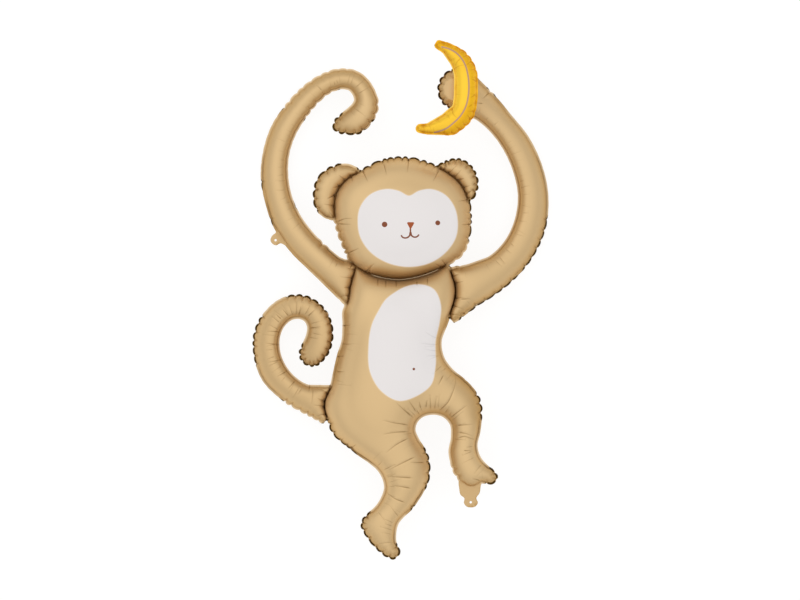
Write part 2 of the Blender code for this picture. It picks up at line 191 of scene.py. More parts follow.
def limb(spine, step):
    """Outline of a limb from its centreline and half widths, round at the tip."""
    line = path(spine, step)
    along = np.gradient(line[:, :2], axis=0)
    along /= np.hypot(*along.T)[:, None]
    side = np.c_[-along[:, 1], along[:, 0]] * line[:, 2:]
    turn = np.radians(np.arange(-80, 81, CAP_STEP))[:, None]
    cap = line[-1, :2] + np.cos(turn) * along[-1] * line[-1, 2] + np.sin(turn) * side[-1]
    outline = np.vstack([line[:, :2] - side, cap, (line[:, :2] + side)[::-1]])
    apart = np.hypot(*(outline[:, None] - line[:, :2]).transpose(2, 0, 1)) - line[:, 2]
    return outline[apart.min(axis=1) > -0.3]  # without the points that a tight bend leaves inside


def rounded(line, times):
    """A closed line, or a value along one, with its corners worn off."""
    for _ in range(times):
        line = line * 0.5 + (np.roll(line, 1, axis=0) + np.roll(line, -1, axis=0)) * 0.25
    return line


head = path(HEAD, CUT_STEP, closed=True)
body = SHOULDER_LEFT + FLANK_LEFT + TAIL_ROOT + LEGS + SHOULDER_RIGHT + UNDER_CHIN
torso = combine(path(body, CUT_STEP, closed=True), offset(head, SEAM), joined=False)
trunk = combine(offset(torso, SEAM), offset(head, SEAM), joined=True)
chambers = {"torso": torso, "head": head}
for name, points in (("left ear", EAR_LEFT), ("right ear", EAR_RIGHT)):
    chambers[name] = combine(path(points, CUT_STEP, closed=True), offset(head, SEAM), joined=False)
for name, spine in (("left arm", LEFT_ARM), ("right arm", RIGHT_ARM), ("tail", TAIL)):
    chambers[name] = combine(limb(spine, CUT_STEP), trunk, joined=False)
rim = offset(torso, RIM)
for outline in list(chambers.values())[1:]:
    rim = combine(rim, offset(outline, RIM), joined=True)
rim = rounded(spread(rim, CUT_STEP), 3)
tab_outlines = [path(tab, CUT_STEP, closed=True) for tab in (ARM_TAB, FOOT_TAB)]
for outline in tab_outlines:
    rim = combine(rim, outline, joined=True)
rim = spread(rim, CUT_STEP)

# Where the foil gathers. A weld that bends round a blown-up part has foil to spare, and takes it up
# in scallops; where two scallops meet, a notch is left in the rim. Inside a bend the foil is slack
# instead, and creases cross it.
PARTS = {  # pitch of the scallops; pull and shade at the seams; strength, reach and least of the shade painted towards the edge
    "torso": (24, 0.15, 0.0, 0.8, 40, 0.0),
    "head": (21, 0.15, 0.0, 0.75, 42, 0.0),
    "left ear": (25, 0.7, 0.2, 0.6, 28, 0.06),
    "right ear": (18, 0.7, 0.2, 0.6, 28, 0.04),
    "left arm": (24, 0.6, 0.2, 0.62, 40, 0.05),
    "right arm": (26, 0.6, 0.2, 0.66, 40, 0.05),
    "tail": (20, 0.7, 0.15, 0.42, 34, 0.14),
}
TAUT, GATHERED = 0.002, 0.007  # bend of a weld, per mm, where scallops start and where they are full
TIGHT, SHORTER = 0.02, 0.75  # bend above which the scallops are shorter, and by what share
BENDING = 22.0  # length of weld, each way, over which its bend is taken
STRAY = 0.16  # share of the pitch by which a notch strays from its even place
BITES = (0.65, 1.1)  # least and greatest strength of a scallop
DRAWN_TO = 14.0  # a notch moves to a crease that starts this near to the weld
PLACE_EASE = 12  # length over which a place's own values fade in
PLACES = [  # where the rim gathers otherwise: middle, reach, strength of the scallops, how dark the shade painted in its frill is; where less, its flange gets a painted highlight
    (10, 352, 135, 1.0, 1.0), (172, 190, 62, 0.8, 0.5), (-150, 150, 64, 0.8, 0.15),
    (150, 118, 42, 0.7, 0.15), (-205, 262, 72, 1.0, 1.0), (-128, 336, 26, 0.0, 0.0),
    (-188, 208, 27, 0.15, 0.5), (160, 300, 62, 1.0, 1.0), (-86, 536, 66, 0.05, 0.3),
    (-160, 440, 34, 1.0, 1.0), (-205, 550, 62, 0.5, 0.1), (-315, 380, 90, 0.12, 0.5),
    (-318, -12, 44, 0.1, 0.2), (-335, -205, 55, 0.1, 0.5), (-245, -283, 64, 0.8, 0.15),
    (143, -428, 36, 0.8, 0.1), (325, 330, 130, 0.05, 0.3), (-181, -214, 26, 0.0, 0.0),
    (124, -378, 38, 0.0, 0.0), (166, -205, 44, 0.1, 0.9), (196, -345, 48, 0.0, 0.6),
    (-250, 498, 52, 0.6, 0.1), (-137, 577, 30, 0.4, 0.1), (-62, 478, 34, 0.6, 0.1),
    (-86, 440, 20, 0.6, 0.2), (-143, -52, 52, 0.0, 0.1), (-150, -6, 24, 0.2, 0.1),
    (-160, 110, 32, 0.0, 0.2), (48, -492, 32, 0.1, 0.7), (128, 66, 24, 0.1, 0.2), (142, -60, 22, 0.2, 0.4),
    (222, 515, 20, 0.8, 0.0), (300, -5, 75, 0.7, 1.0), (375, 90, 75, 0.6, 1.0), (235, -50, 75, 0.65, 0.9),
    (-181, -66, 34, 0.8, 1.0), (-122, -368, 30, 0.5, 0.9),
]
LINES = [  # where the foil's own edge is shaded, in a thin line along the weld: middle, reach, strength
    (-100, -385, 52, 0.8), (45, -498, 40, 0.85), (165, -205, 48, 0.8), (192, -345, 50, 0.7),
    (222, -418, 26, 0.8), (-20, -600, 34, 0.6), (-600, 335, 272, 0.9), (-385, 190, 88, 0.8),
    (-160, 112, 44, 0.8), (-185, 210, 24, 0.8), (-75, 415, 30, 0.6), (210, -455, 16, 0.7),
    (-100, -555, 22, 0.4), (40, -255, 20, 0.3), (225, -30, 60, 0.5), (-330, -200, 50, 0.5),
    (235, 505, 36, 0.25), (460, 230, 125, 0.6), (455, 350, 125, 0.6), (-160, -190, 40, 0.6),
]
CREASES = [  # the clearest creases, each from its weld inwards
    [(-41, 341), (-33, 312)], [(22, 354), (19, 318)], [(98, 325), (82, 295)], [(-93, 322), (-80, 295)],
    [(-158, 195), (-140, 202), (-118, 203)], [(-155, 190), (-122, 188)], [(-127, 118), (-102, 129)],
    [(-86, 70), (-64, 91)], [(-78, 65), (-72, 88)], [(175, 252), (145, 246)], [(175, 189), (153, 188)],
    [(118, 84), (102, 102)], [(108, 80), (86, 91)], [(-122, 308), (-118, 295)], [(-164, 262), (-182, 252)],
    [(-150, 285), (-168, 280)], [(148, 300), (160, 304)], [(-55, 52), (-55, 35)], [(-35, 50), (-35, 30)],
    [(-10, 48), (-9, 32)], [(42, 48), (42, 35)], [(68, 55), (68, 38)], [(152, 2), (178, 2)],
    [(150, -33), (176, -33)], [(-144, -65), (-122, -62)], [(-146, -110), (-120, -110)],
    [(-160, -178), (-138, -179)], [(-156, -142), (-140, -140)], [(28, -290), (-10, -255)],
    [(20, -311), (-15, -306), (-44, -299)], [(19, -328), (-12, -330), (-43, -335)],
    [(20, -345), (-8, -360), (-35, -381)], [(36, -392), (5, -407), (-28, -424)], [(30, -444), (-35, -440)],
    [(26, -470), (-20, -462)], [(12, -506), (-15, -495), (-36, -478)], [(60, -405), (25, -405)],
    [(201, -453), (193, -449), (180, -447)], [(222, 518), (206, 502)], [(207, 491), (192, 492)],
    [(40, -278), (22, -250)], [(52, -270), (48, -252)], [(65, -268), (68, -248)],
    [(98, -276), (119, -256), (130, -234), (138, -206), (137, -186)], [(128, -292), (168, -262)],
    [(142, -314), (160, -312), (182, -311)], [(146, -331), (166, -334), (180, -339)],
    [(145, -344), (160, -341), (188, -350)], [(160, -376), (179, -376)], [(108, -188), (96, -212)],
    [(104, -130), (122, -130)], [(-125, -372), (-108, -360)], [(-280, -40), (-295, -22)],
    [(-298, -48), (-312, -35)], [(-253, -38), (-248, -14)], [(-231, -41), (-212, -23)],
    [(-227, -70), (-197, -67)], [(-303, -80), (-335, -78)], [(-305, -112), (-338, -108)],
    [(-298, -150), (-331, -156)], [(-283, -178), (-309, -192)], [(-262, -202), (-281, -222)],
    [(-225, -210), (-228, -230)],
]
WAIST_CREASES = [  # faint ones that cross the white of the belly
    [(92, -95), (76, -88), (60, -77)], [(92, -111), (70, -110), (46, -106)],
    [(91, -127), (76, -125), (58, -121)], [(91, -138), (64, -140)],
]
WELD_STEP = 2.5  # distance between points on a weld
chance = np.random.default_rng(7)


def bent(weld, step):
    """How sharply a weld line bends at each of its points, per mm, and less than nothing inside a bend."""
    normal = outward(weld)
    far = round(BENDING / step)
    before, after = np.roll(normal, far, axis=0), np.roll(normal, -far, axis=0)
    turn = np.arctan2(before[:, 0] * after[:, 1] - before[:, 1] * after[:, 0], np.sum(before * after, axis=1))
    return turn / (2 * far * step)


def eased(t):
    """A soft step from 0 to 1."""
    t = np.clip(t, 0, 1)
    return t * t * (3 - 2 * t)


def far_from(points, place):
    """How far each point is from a place."""
    return np.hypot(points[:, 0] - place[0], points[:, 1] - place[1])


class Weld:
    """One closed weld line, with the scallops along it."""

    def __init__(self, outline, pitch, starts, step):
        self.points = rounded(spread(outline, step), 2)
        self.normal = outward(self.points)
        self.run = run_of(np.vstack([self.points, self.points[:1]]))
        self.bend = bent(self.points, step)
        self.gather = eased((self.bend - TAUT) / (GATHERED - TAUT))
        count = np.r_[0, np.cumsum(np.diff(self.run) / np.where(self.bend > TIGHT, pitch * SHORTER, pitch))]
        whole = round(count[-1])
        at = np.arange(whole) + chance.uniform(-STRAY, STRAY, whole)
        cusps = np.interp(at % whole, count * whole / count[-1], self.run)
        for start in starts:
            far = far_from(self.points, start)
            if far.min() < DRAWN_TO:
                place = self.run[np.argmin(far)]
                cusps[np.argmin(np.abs(cusps - place))] = place
        self.cusps = np.sort(cusps)
        self.bite = chance.uniform(*BITES, whole)

    def phase(self, run):
        """How far along its scallop a place on the weld is, from 0 to 1, and how strong that scallop is."""
        total = self.run[-1]
        cusps = np.r_[self.cusps[-1] - total, self.cusps, self.cusps[0] + total]
        bite = np.r_[self.bite[-1], self.bite, self.bite[0]]
        run = np.clip(run, cusps[0] + 1e-6, cusps[-1] - 1e-6)
        last = np.searchsorted(cusps, run, side="right") - 1
        t = (run - cusps[last]) / (cusps[last + 1] - cusps[last])
        return t, bite[last] * (1 - t) + bite[last + 1] * t

    def at(self, run):
        """Number of the weld point at a place on the weld."""
        return np.searchsorted(self.run, run) % len(self.points)

    def crease(self, k, lean, away, length):
        """A straight crease into the foil from near a weld point, leaning to one side."""
        x, y = -self.normal[k]
        into = np.array([x - lean * y, y + lean * x])
        start = self.points[k] + into * away
        return [tuple(start), tuple(start + into * length)]


def placed(points, number, value):
    """A value along a weld, changed to that of each of the places that the points are in."""
    for place in PLACES:
        within = eased((place[2] - far_from(points, place)) / PLACE_EASE)
        value = value * (1 - within) + place[number] * within
    return value


starts = [crease[0] for crease in CREASES]
welds = [Weld(outline, PARTS[name][0], starts, WELD_STEP) for name, outline in chambers.items()]
ON_SEAM = 2.5  # how much more than a seam's width may lie between the two welds of a seam
NECK, NECK_HALF, NECK_FOOT, NECK_TOP = 14, 84, 20, 100  # where the head is welded to the body
NECK_PULL, NECK_EDGE, NECK_REACH = 0.1, 0.75, 95  # its scallops are weak, and the shade painted at its edge is wide
HEAD_SHADE, BODY_SHADE = 0.7, 0.25  # shade on either side of the neck's weld
SEAM_DRAW, SEAM_EDGE, SEAM_REACH = 0.2, 0.3, 20  # how far seams are drawn in, and the shade painted at their edge
STRAIGHT, STRAIGHT_EASE = 0.001, 0.003  # bend of a weld, per mm, up to which it counts as straight
STRAIGHT_EDGE = 0.75  # strength of the shade painted along a straight weld
SMOOTH_ARM, SMOOTH_FOOT, TAB_EASE = 32, 48, 18  # how far from their holes the tabs keep the foil smooth
LEG_TOP, LEG_EASE = -300, 40  # where the legs begin, and over what length they do
LEG_DRAW, LEG_EDGE, LEG_REACH = 0.3, 0.2, 10  # by how much these are less on the legs
CHEEK, CHEEK_EASE, CHEEK_EDGE = 110, 40, 0.5  # where the shade painted on the right side of the head weakens, so it grows paler, and how much
BELLY_FOOT, BELLY_EASE, BELLY_REACH = -330, 60, 32  # from here up the shade painted at the body's edge reaches further
KNOT = 17.0  # spacing of the points between which the painted shade line of a seam widens and narrows
NECK_GROOVE, GROOVE, BODY_GROOVE, LIMB_GROOVE = 0.6, 0.3, 1.2, 3.6  # least widths of that painted shade line, and what is added
FOLD, STRAIGHT_FOLD = 0.12, 0.08  # strength of the thin painted shade line along the rim, and what straight welds add
LINE_GROOVE, LINE_EASE = 0.6, 20  # width of a shaded line, and the length over which it fades out
for name, weld in zip(chambers, welds):
    _, seam_pull, seam_shade, strength, reach, least = PARTS[name]
    across, up = weld.points.T
    other = np.vstack([each.points for each in welds if each is not weld])
    seam = np.array([far_from(other, point).min() for point in weld.points]) < SEAM + ON_SEAM
    neck = seam & (np.abs(across - NECK) < NECK_HALF) & (up < NECK_TOP) & (up > NECK_FOOT)
    from_tabs = [far_from(weld.points, ARM_HOLE) - SMOOTH_ARM, far_from(weld.points, FOOT_HOLE) - SMOOTH_FOOT]
    free = placed(weld.points, 3, weld.gather) * eased(np.min(from_tabs, axis=0) / TAB_EASE)
    on_leg = eased((LEG_TOP - up) / LEG_EASE) * (name == "torso")
    straight = eased((STRAIGHT - weld.bend) / STRAIGHT_EASE)
    weld.seam = seam
    weld.gather = np.where(seam, np.where(neck, NECK_PULL, seam_pull), free)
    weld.draw = np.where(seam, SEAM_DRAW, 1.0 - LEG_DRAW * on_leg)
    neck_shade = HEAD_SHADE if name == "head" else BODY_SHADE
    weld.shade = np.where(seam, np.where(neck, neck_shade, seam_shade), 0.0)
    weld.strip = np.where(neck, 1.0, 0.0)
    # How strong the shade painted towards each weld is, and how far it reaches.
    strength += (STRAIGHT_EDGE - strength) * straight
    weld.edge = np.where(seam, SEAM_EDGE, strength) - LEG_EDGE * on_leg
    weld.reach = np.where(seam, SEAM_REACH, reach - LEG_REACH * on_leg)
    if name == "head":
        paler = CHEEK_EDGE * eased((across - CHEEK) / CHEEK_EASE) * ~seam
        weld.edge = np.where(neck, NECK_EDGE, weld.edge - paler)
        weld.reach = np.where(neck, NECK_REACH, weld.reach)
    if name == "torso":
        weld.reach = weld.reach + BELLY_REACH * eased((up - BELLY_FOOT) / BELLY_EASE) * ~seam
    weld.least = np.full(len(seam), least)
    knots = chance.uniform(0, 1, int(weld.run[-1] // KNOT))
    uneven = np.interp(weld.run[:-1], np.arange(len(knots)) * KNOT, knots)
    widest = BODY_GROOVE if name in ("torso", "head") else LIMB_GROOVE
    groove = GROOVE + widest * uneven**1.5 + ("ear" in name)
    weld.groove = np.where(seam, np.where(neck, NECK_GROOVE, groove), 0.0)
    weld.fold = np.where(seam, 1.0, FOLD + STRAIGHT_FOLD * straight)
    for *place, far, strength in LINES:
        near = eased((far - far_from(weld.points, place)) / LINE_EASE) * ~seam
        weld.fold = np.maximum(weld.fold, strength * near)
        weld.groove = np.maximum(weld.groove, LINE_GROOVE * near)
    # Where its frill is not painted dark, along straight welds and under the chin, the flange gets a painted
    # highlight.
    dark = placed(weld.points, 4, np.ones(len(seam)))
    weld.pale = np.where(seam, neck * 1.0, np.maximum(straight, 1 - dark))
    for key in ("gather", "draw", "shade", "fold", "strip", "pale", "least", "groove"):
        setattr(weld, key, rounded(getattr(weld, key), 3))
    for key in ("edge", "reach"):
        setattr(weld, key, rounded(getattr(weld, key), 50))

# Creases: the clearest ones, short ones from the notches of a weld, and others where the foil is
# slack, inside a bend.
CREASE_WIDTH, NOTCH_WIDTH, SLACK_WIDTH = 2.0, 1.8, 1.7
WEAK = 0.2  # no crease where the foil gathers, or is slack, less than this
CLOSE = 9  # no crease from a notch that lies this near to one of the clearest
SEAM_NOTCH, RIM_NOTCH = (12, 20, 1.1), (4, 4, 0.45)  # least length, what is added, and depth
BEND_IN, MORE = -0.012, 1.6  # bend of a weld, per mm, from which slack foil has more creases
SLACK_BEND = 0.008  # bend of a weld, per mm, where foil inside the bend is fully slack
SPACING, LENGTHS, STARTS, DEPTHS = (10, 26), (9, 26), (4, 12), (0.25, 0.75)  # of creases in slack foil
BODY_LONGER, BEND_LONGER = 1.5, 1.7  # longer on the body, and in the arms' tightest bends
long_creases = [(crease, 1.0, CREASE_WIDTH) for crease in CREASES]
long_creases += [(crease, 0.5, CREASE_WIDTH) for crease in WAIST_CREASES]
short_creases = []
for name, weld in zip(chambers, welds):
    for place in weld.cusps:
        k = weld.at(place)
        lean, more = chance.uniform(-0.25, 0.25), chance.uniform(0, 1)
        least, added, depth = SEAM_NOTCH if weld.seam[k] else RIM_NOTCH
        if weld.gather[k] < WEAK or min(math.dist(weld.points[k], start) for start in starts) < CLOSE:
            continue
        crease = weld.crease(k, lean, 1.0, least + added * more)
        short_creases.append((crease, depth * weld.gather[k], NOTCH_WIDTH))
    place = 0.0
    while name not in ("left ear", "right ear") and place < weld.run[-1]:
        k = weld.at(place)
        place += chance.uniform(*SPACING) / (MORE if weld.bend[k] < BEND_IN else 1)
        length, lean = chance.uniform(*LENGTHS), chance.uniform(-0.2, 0.2)
        slack = eased(-weld.bend[k] / SLACK_BEND) * (not weld.seam[k])
        if slack < WEAK:
            continue
        if "arm" not in name:
            length *= BODY_LONGER
        elif weld.bend[k] < -TIGHT:
            length *= BEND_LONGER
        crease = weld.crease(k, lean, chance.uniform(*STARTS), length)
        long_creases.append((crease, chance.uniform(*DEPTHS) * slack, SLACK_WIDTH))

NARROWING = 0.35  # share of its width that a crease loses along its length


def creased(points, creases):
    """How deep in a crease each point lies, from 0 on open foil to 1 at the bottom of a full crease."""
    depth = np.zeros(len(points))
    for corners, strength, width in creases:
        line = path(corners, 4) if len(corners) > 2 else np.array(corners, float)
        low, high = line.min(axis=0) - width, line.max(axis=0) + width
        near = np.nonzero(np.all((points > low) & (points < high), axis=1))[0]
        run = run_of(line)
        best, at = np.full(len(near), np.inf), np.zeros(len(near))
        for k, (a, d) in enumerate(zip(line, np.diff(line, axis=0))):
            to = points[near] - a
            t = np.clip(to @ d / (d @ d), 0, 1)
            far = np.hypot(to[:, 0] - t * d[0], to[:, 1] - t * d[1])
            at = np.where(far < best, (run[k] + t * (run[k + 1] - run[k])) / run[-1], at)
            best = np.minimum(best, far)
        taper = np.minimum(1, at * 7 + 0.2) * (1 - at) ** 0.6
        across = 1 - best / (width * (1 - NARROWING * at))
        depth[near] = np.maximum(depth[near], strength * taper * across)
    return np.maximum(depth, 0)


def sideways(line):
    """Unit vectors to the left of a line."""
    along = np.gradient(line, axis=0)
    return np.c_[-along[:, 1], along[:, 0]] / np.hypot(*along.T)[:, None]


def crease_points(creases, step, lips):
    """Points along the bottoms of creases, and along both their lips."""
    laid = []
    for corners, _, width in creases:
        line = path(corners, step)
        laid.append(line)
        if lips:
            lip = sideways(line) * width * np.linspace(1, 1 - NARROWING, len(line))[:, None]
            laid += [line - lip, line + lip]
    return np.vstack(laid)


# Prints: the white face and belly, the brown eyes, navel, mouth and nose. Ink on the front sheet only.
FACE = [(22.5, 259.3), (-2.5, 271), (-30.5, 276), (-76, 261), (-101.5, 224), (-104.8, 196), (-100, 160.8),
        (-79.5, 126), (-38, 96), (22, 83), (83.5, 96.8), (118.5, 124), (139, 156.5), (143.5, 196),
        (134, 234.5), (112, 262), (75.5, 276), (47, 271.5)]
BELLY = [(40.5, 39), (84, 26.5), (101.5, -13), (98, -56.5), (88.9, -99.5), (87.8, -167), (77.5, -210),
         (42.5, -238), (-3.25, -250.3), (-44.5, -228), (-72, -185), (-78, -116.75), (-68, -57), (-53, -27),
         (-33.8, 2.5), (-13.5, 18), (15, 33.5)]
DOTS = [(-38.3, 188.0, 6.9), (94, 192, 6.1), (34.5, -171.75, 3.25)]  # eyes and navel: middle, radius
NOSE = [(20.2, 191.2), (32.6, 191.2), (26.3, 180.0)]
MOUTH = [[(26, 178), (26, 168)], [(25, 167), (24.2, 161), (20, 156.2), (12.5, 154.3), (6, 156.5), (3.5, 160)],
         [(27.3, 167), (28.5, 161), (32.5, 157.4), (39.3, 156.5), (44, 158.8), (46.5, 161.8)]]
NOSE_ROUND, LIP = 2.5, 1.9  # radius of the nose's corners, and half width of the mouth's lines
MUZZLE, MUZZLE_REACH = (26, 170), 45  # mouth and nose lie within this reach of their middle
PRINT_REACH = 30.0  # furthest distance from a print that the points carry


def line_points(stroke, step, half_width):
    """Points along a printed line and along both its edges."""
    line = path(stroke, step)
    side = sideways(line) * half_width
    return np.vstack([line, line + side, line - side])


def to_line(points, line):
    """How far each point is from an open line."""
    return gap(points, np.vstack([line, line[-2:0:-1]]))


def printed(points):
    """How far the points lie inside the white patches, the brown lines and dots, and the nose."""
    white, brown, nose = np.full((3, len(points)), -PRINT_REACH)
    for patch in (FACE, BELLY):
        edge = path(patch, 3, closed=True)
        near = np.all((points > edge.min(axis=0) - 25) & (points < edge.max(axis=0) + 25), axis=1)
        signed = gap(points[near], edge) * np.where(inside(points[near], edge), 1, -1)
        white[near] = np.maximum(white[near], np.clip(signed, -PRINT_REACH, PRINT_REACH))
    for *middle, radius in DOTS:
        brown = np.maximum(brown, radius - far_from(points, middle))
    near = far_from(points, MUZZLE) < MUZZLE_REACH
    for stroke in MOUTH:
        brown[near] = np.maximum(brown[near], LIP - to_line(points[near], path(stroke, 1)))
    corner = np.array(NOSE)
    nose[near] = NOSE_ROUND - gap(points[near], corner) * np.where(inside(points[near], corner), -1, 1)
    return white, brown, nose


# Blowing up: the foil between the welds is laid out in triangles and rises as a film would.
BOX = 2.0  # size of the boxes that near points are looked up in
ROW = 0.866  # height of a row of triangles whose sides are 1 long
STRIP = 4.0  # width of the steep first strip of foil along a weld
DETAIL = 27  # distance from the welds up to which the triangles are small
CROWDED = 0.62  # share of a triangle's side that must lie between two points


def apart(points, least, taken):
    """Which points keep their distance from those already taken; these are then taken too."""
    kept = np.zeros(len(points), bool)
    for k, (x, y) in enumerate(points):
        i, j = int(x // BOX), int(y // BOX)
        crowded = any(
            (x - a) ** 2 + (y - b) ** 2 < least * least
            for column in (i - 1, i, i + 1) for row in (j - 1, j, j + 1)
            for a, b in taken.get((column, row), ())
        )
        if not crowded:
            taken.setdefault((i, j), []).append((x, y))
            kept[k] = True
    return kept


def nearest(points, places):
    """Number and distance of the place nearest to each point."""
    tree = KDTree(len(places))
    for k, (x, y) in enumerate(places):
        tree.insert((x, y, 0), k)
    tree.balance()
    found = [tree.find((x, y, 0))[1:] for x, y in points]
    return np.array([k for k, _ in found]), np.array([far for _, far in found])


def lattice(low, high, cell):
    """Points in rows of triangles over a rectangle."""
    columns = np.arange(low[0] // cell - 1, high[0] // cell + 2)
    rows = np.arange(low[1] // (cell * ROW) - 1, high[1] // (cell * ROW) + 2)
    x, y = np.meshgrid(columns, rows)
    return np.c_[(x + y % 2 * 0.5).ravel(), y.ravel() * ROW] * cell


def turned_area(points, triangles):
    """Twice the area of each triangle, less than nothing where it runs clockwise."""
    corner = points[triangles]
    a, b = corner[:, 1] - corner[:, 0], corner[:, 2] - corner[:, 0]
    return a[:, 0] * b[:, 1] - a[:, 1] * b[:, 0]


def film(points, triangles, held):
    """Rise of a soap film over the triangles, held down at its first points."""
    corner = points[triangles]
    side = np.roll(corner, 1, axis=1) - np.roll(corner, -1, axis=1)
    twice = np.abs(side[:, 0, 0] * side[:, 1, 1] - side[:, 0, 1] * side[:, 1, 0])
    size = len(points)
    a, b = triangles.ravel(), np.roll(triangles, -1, axis=1).ravel()
    pull = (np.sum(side * np.roll(side, -1, axis=1), axis=2) / (2 * twice)[:, None]).ravel()
    pairs, which = np.unique(np.r_[a * size + b, b * size + a], return_inverse=True)
    pull = np.bincount(which, np.r_[pull, pull])
    a, b = pairs // size, pairs % size
    first = np.searchsorted(a, np.arange(size))
    stiff = -np.add.reduceat(pull, first)
    rest = np.bincount(triangles.ravel(), np.repeat(twice / 3, 3), size)
    rest[:held] = 0
    rise, toward, before = np.zeros(size), np.zeros(size), 1.0
    goal = 1e-5 * np.sqrt(rest @ rest)
    while np.sqrt(rest @ rest) > goal:
        slack = rest / stiff
        now = rest @ slack
        toward = slack + now / before * toward
        force = stiff * toward + np.add.reduceat(pull * toward[b], first)
        force[:held] = 0
        stride = now / (toward @ force)
        rise += stride * toward
        rest -= stride * force
        before = now
    return rise

FOIL = 0.6  # thickness of the two welded foils
SLIVER = 1e-3  # twice the area of a triangle that is too thin to keep
SLACK = 0.15  # share by which a wide part stays flatter than a round tube
NARROW, WIDE = 45.0, 90.0  # half thickness where that flattening starts and where it is full


def band(outer, within):
    """The triangles between two loops of points."""
    a, b, c, d = outer, np.roll(outer, -1), np.roll(within, -1), within
    return np.vstack([np.c_[a, b, c], np.c_[a, c, d]])


def blow_up(welds, layers, cell, wide, detail):
    """One sheet's foil between its welds: plan points, triangles and half thickness.

    The weld points come first. The strip beside a weld rises steeply, so it gets layers of its own,
    closer towards the weld.
    """
    lines = [weld.points for weld in welds]
    inner = []
    for weld in welds:
        reach = np.full(len(weld.points), STRIP)
        for t in np.arange(1.0, 2 * STRIP + 1):
            tight = gap(weld.points - weld.normal * t, weld.points) < 0.9 * t
            reach[tight] = np.minimum(reach[tight], 0.4 * t)
        for _ in range(2):
            reach = np.minimum(reach, (np.roll(reach, 1) + np.roll(reach, -1)) / 2 + 0.3)
        inner.append(weld.points - weld.normal * reach[:, None])
    count = sum(map(len, lines))
    points, triangles, strips = lines + inner, [], []
    start, size = 0, 2 * count
    for line, ring_in in zip(lines, inner):
        turn = np.arange(len(line))
        strips.append((start + turn, count + start + turn))
        taken = {}
        apart(ring_in, 0, taken)
        own = []
        for extra, least in detail:
            extra = extra[inside(extra, ring_in)]
            own.append(extra[apart(extra, least, taken)])
        low, high = ring_in.min(axis=0), ring_in.max(axis=0)
        for grid, near in ((lattice(low, high, cell), True), (lattice(low, high, wide), False)):
            grid = grid[inside(grid, ring_in)]
            _, far = nearest(grid, line)
            grid = grid[(far < DETAIL) == near]
            own.append(grid[apart(grid, CROWDED * cell, taken)])
        own = np.vstack(own)
        flat = np.vstack([ring_in, own])
        _, _, faces, *_ = delaunay_2d_cdt([tuple(point) for point in flat], [], [list(turn)], 0, 1e-7, False)
        faces = np.array(faces)
        whole = np.abs(turned_area(flat, faces)) > SLIVER
        faces = faces[whole & inside(flat[faces].mean(axis=1), ring_in)]
        number = np.r_[count + start + turn, size + np.arange(len(own))]
        triangles.append(number[faces])
        points.append(own)
        size += len(own)
        start += len(line)
    points = np.vstack(points)
    filling = np.vstack(triangles)
    solved = np.vstack([filling] + [band(*strip) for strip in strips])
    half = np.sqrt(np.maximum(film(points, solved, count), 0))
    half *= 1 - SLACK * eased((half - NARROW) / (WIDE - NARROW))
    faces, more, more_half = [filling], [], []
    for (outer, within), layer in zip(strips, layers):
        ladder = [outer]
        for k in range(1, layer):
            share = (k / layer) ** 2
            more.append(points[outer] * (1 - share) + points[within] * share)
            more_half.append(half[within] * (k / layer))
            ladder.append(size + np.arange(len(outer)))
            size += len(outer)
        ladder.append(within)
        faces += [band(*rungs) for rungs in zip(ladder, ladder[1:])]
    triangles = np.vstack(faces)
    points, half = np.vstack([points] + more), np.hstack([half] + more_half)
    clockwise = turned_area(points, triangles) < 0
    triangles[clockwise] = triangles[clockwise][:, ::-1]
    return points, triangles, half


FRONT_LAYERS, BACK_LAYERS = [8, 8, 4, 4, 5, 5, 5], [4, 4, 3, 3, 3, 3, 3]  # in the strips of the parts
FRONT_CELLS, BACK_CELLS = (2.9, 4.8), (5.0, 9.0)  # sides of the triangles near the welds and further in
PRINT_CELL, BESIDE = 1.4, 4  # points for the brown prints, and how far on either side of their edges
BROW, BROW_REACH = (21.5, 261.5), 9  # where the white of the face has its sharpest corner
prints = lattice((-120, -260), (160, 290), PRINT_CELL)
white, brown, nose = printed(prints)
on_brow = far_from(prints, BROW) < BROW_REACH
prints = prints[(np.abs(brown) < BESIDE) | (np.abs(nose) < BESIDE) | on_brow]
prints = np.vstack([line_points(stroke, 1.2, LIP) for stroke in MOUTH] + [prints])
long_lines, short_lines = crease_points(long_creases, 2.2, True), crease_points(short_creases, 2.2, True)
front_detail = [(prints, 1.1), (long_lines, 1.2), (short_lines, 1.2)]
back_detail = [(crease_points(short_creases, 3.0, False), 2.0)]
front = blow_up(welds, FRONT_LAYERS, *FRONT_CELLS, front_detail)
back = blow_up(welds, BACK_LAYERS, *BACK_CELLS, back_detail)

# The flat flange between the welds and the rim, with the two tabs and their holes.
ROUND, TAB_RINGS = 28, (4, 6)  # points round a hole, and radii of the loops of points round it
TAB_LOW, TAB_HIGH, TAB_CELL = (150, -500), (205, -462), 4  # where the tab under the foot is filled in
TAB_APART = 1.4  # least distance between the points of the tabs


def ring(centre, radius, count):
    """A round loop of points."""
    turn = np.arange(count) * 2 * np.pi / count
    return np.c_[centre[0] + radius * np.cos(turn), centre[1] + radius * np.sin(turn)]


holes = [ring(ARM_HOLE, HOLE, ROUND), ring(FOOT_HOLE, HOLE, ROUND)]
under_chin = offset(head, SEAM / 2)
under_chin = under_chin[(np.abs(under_chin[:, 0] - NECK) < NECK_HALF) & (under_chin[:, 1] < NECK_TOP)]
tabs = np.vstack([ring(hole, radius, ROUND) for hole in (ARM_HOLE, FOOT_HOLE) for radius in TAB_RINGS]
                 + [lattice(TAB_LOW, TAB_HIGH, TAB_CELL), under_chin])
tabs = tabs[inside(tabs, rim)]
lines = [weld.points for weld in welds]
taken = {}
apart(np.vstack([rim] + holes + lines), 0, taken)
tabs = tabs[~np.any([inside(tabs, loop) for loop in lines + holes], axis=0)]
tabs = tabs[apart(tabs, TAB_APART, taken)]


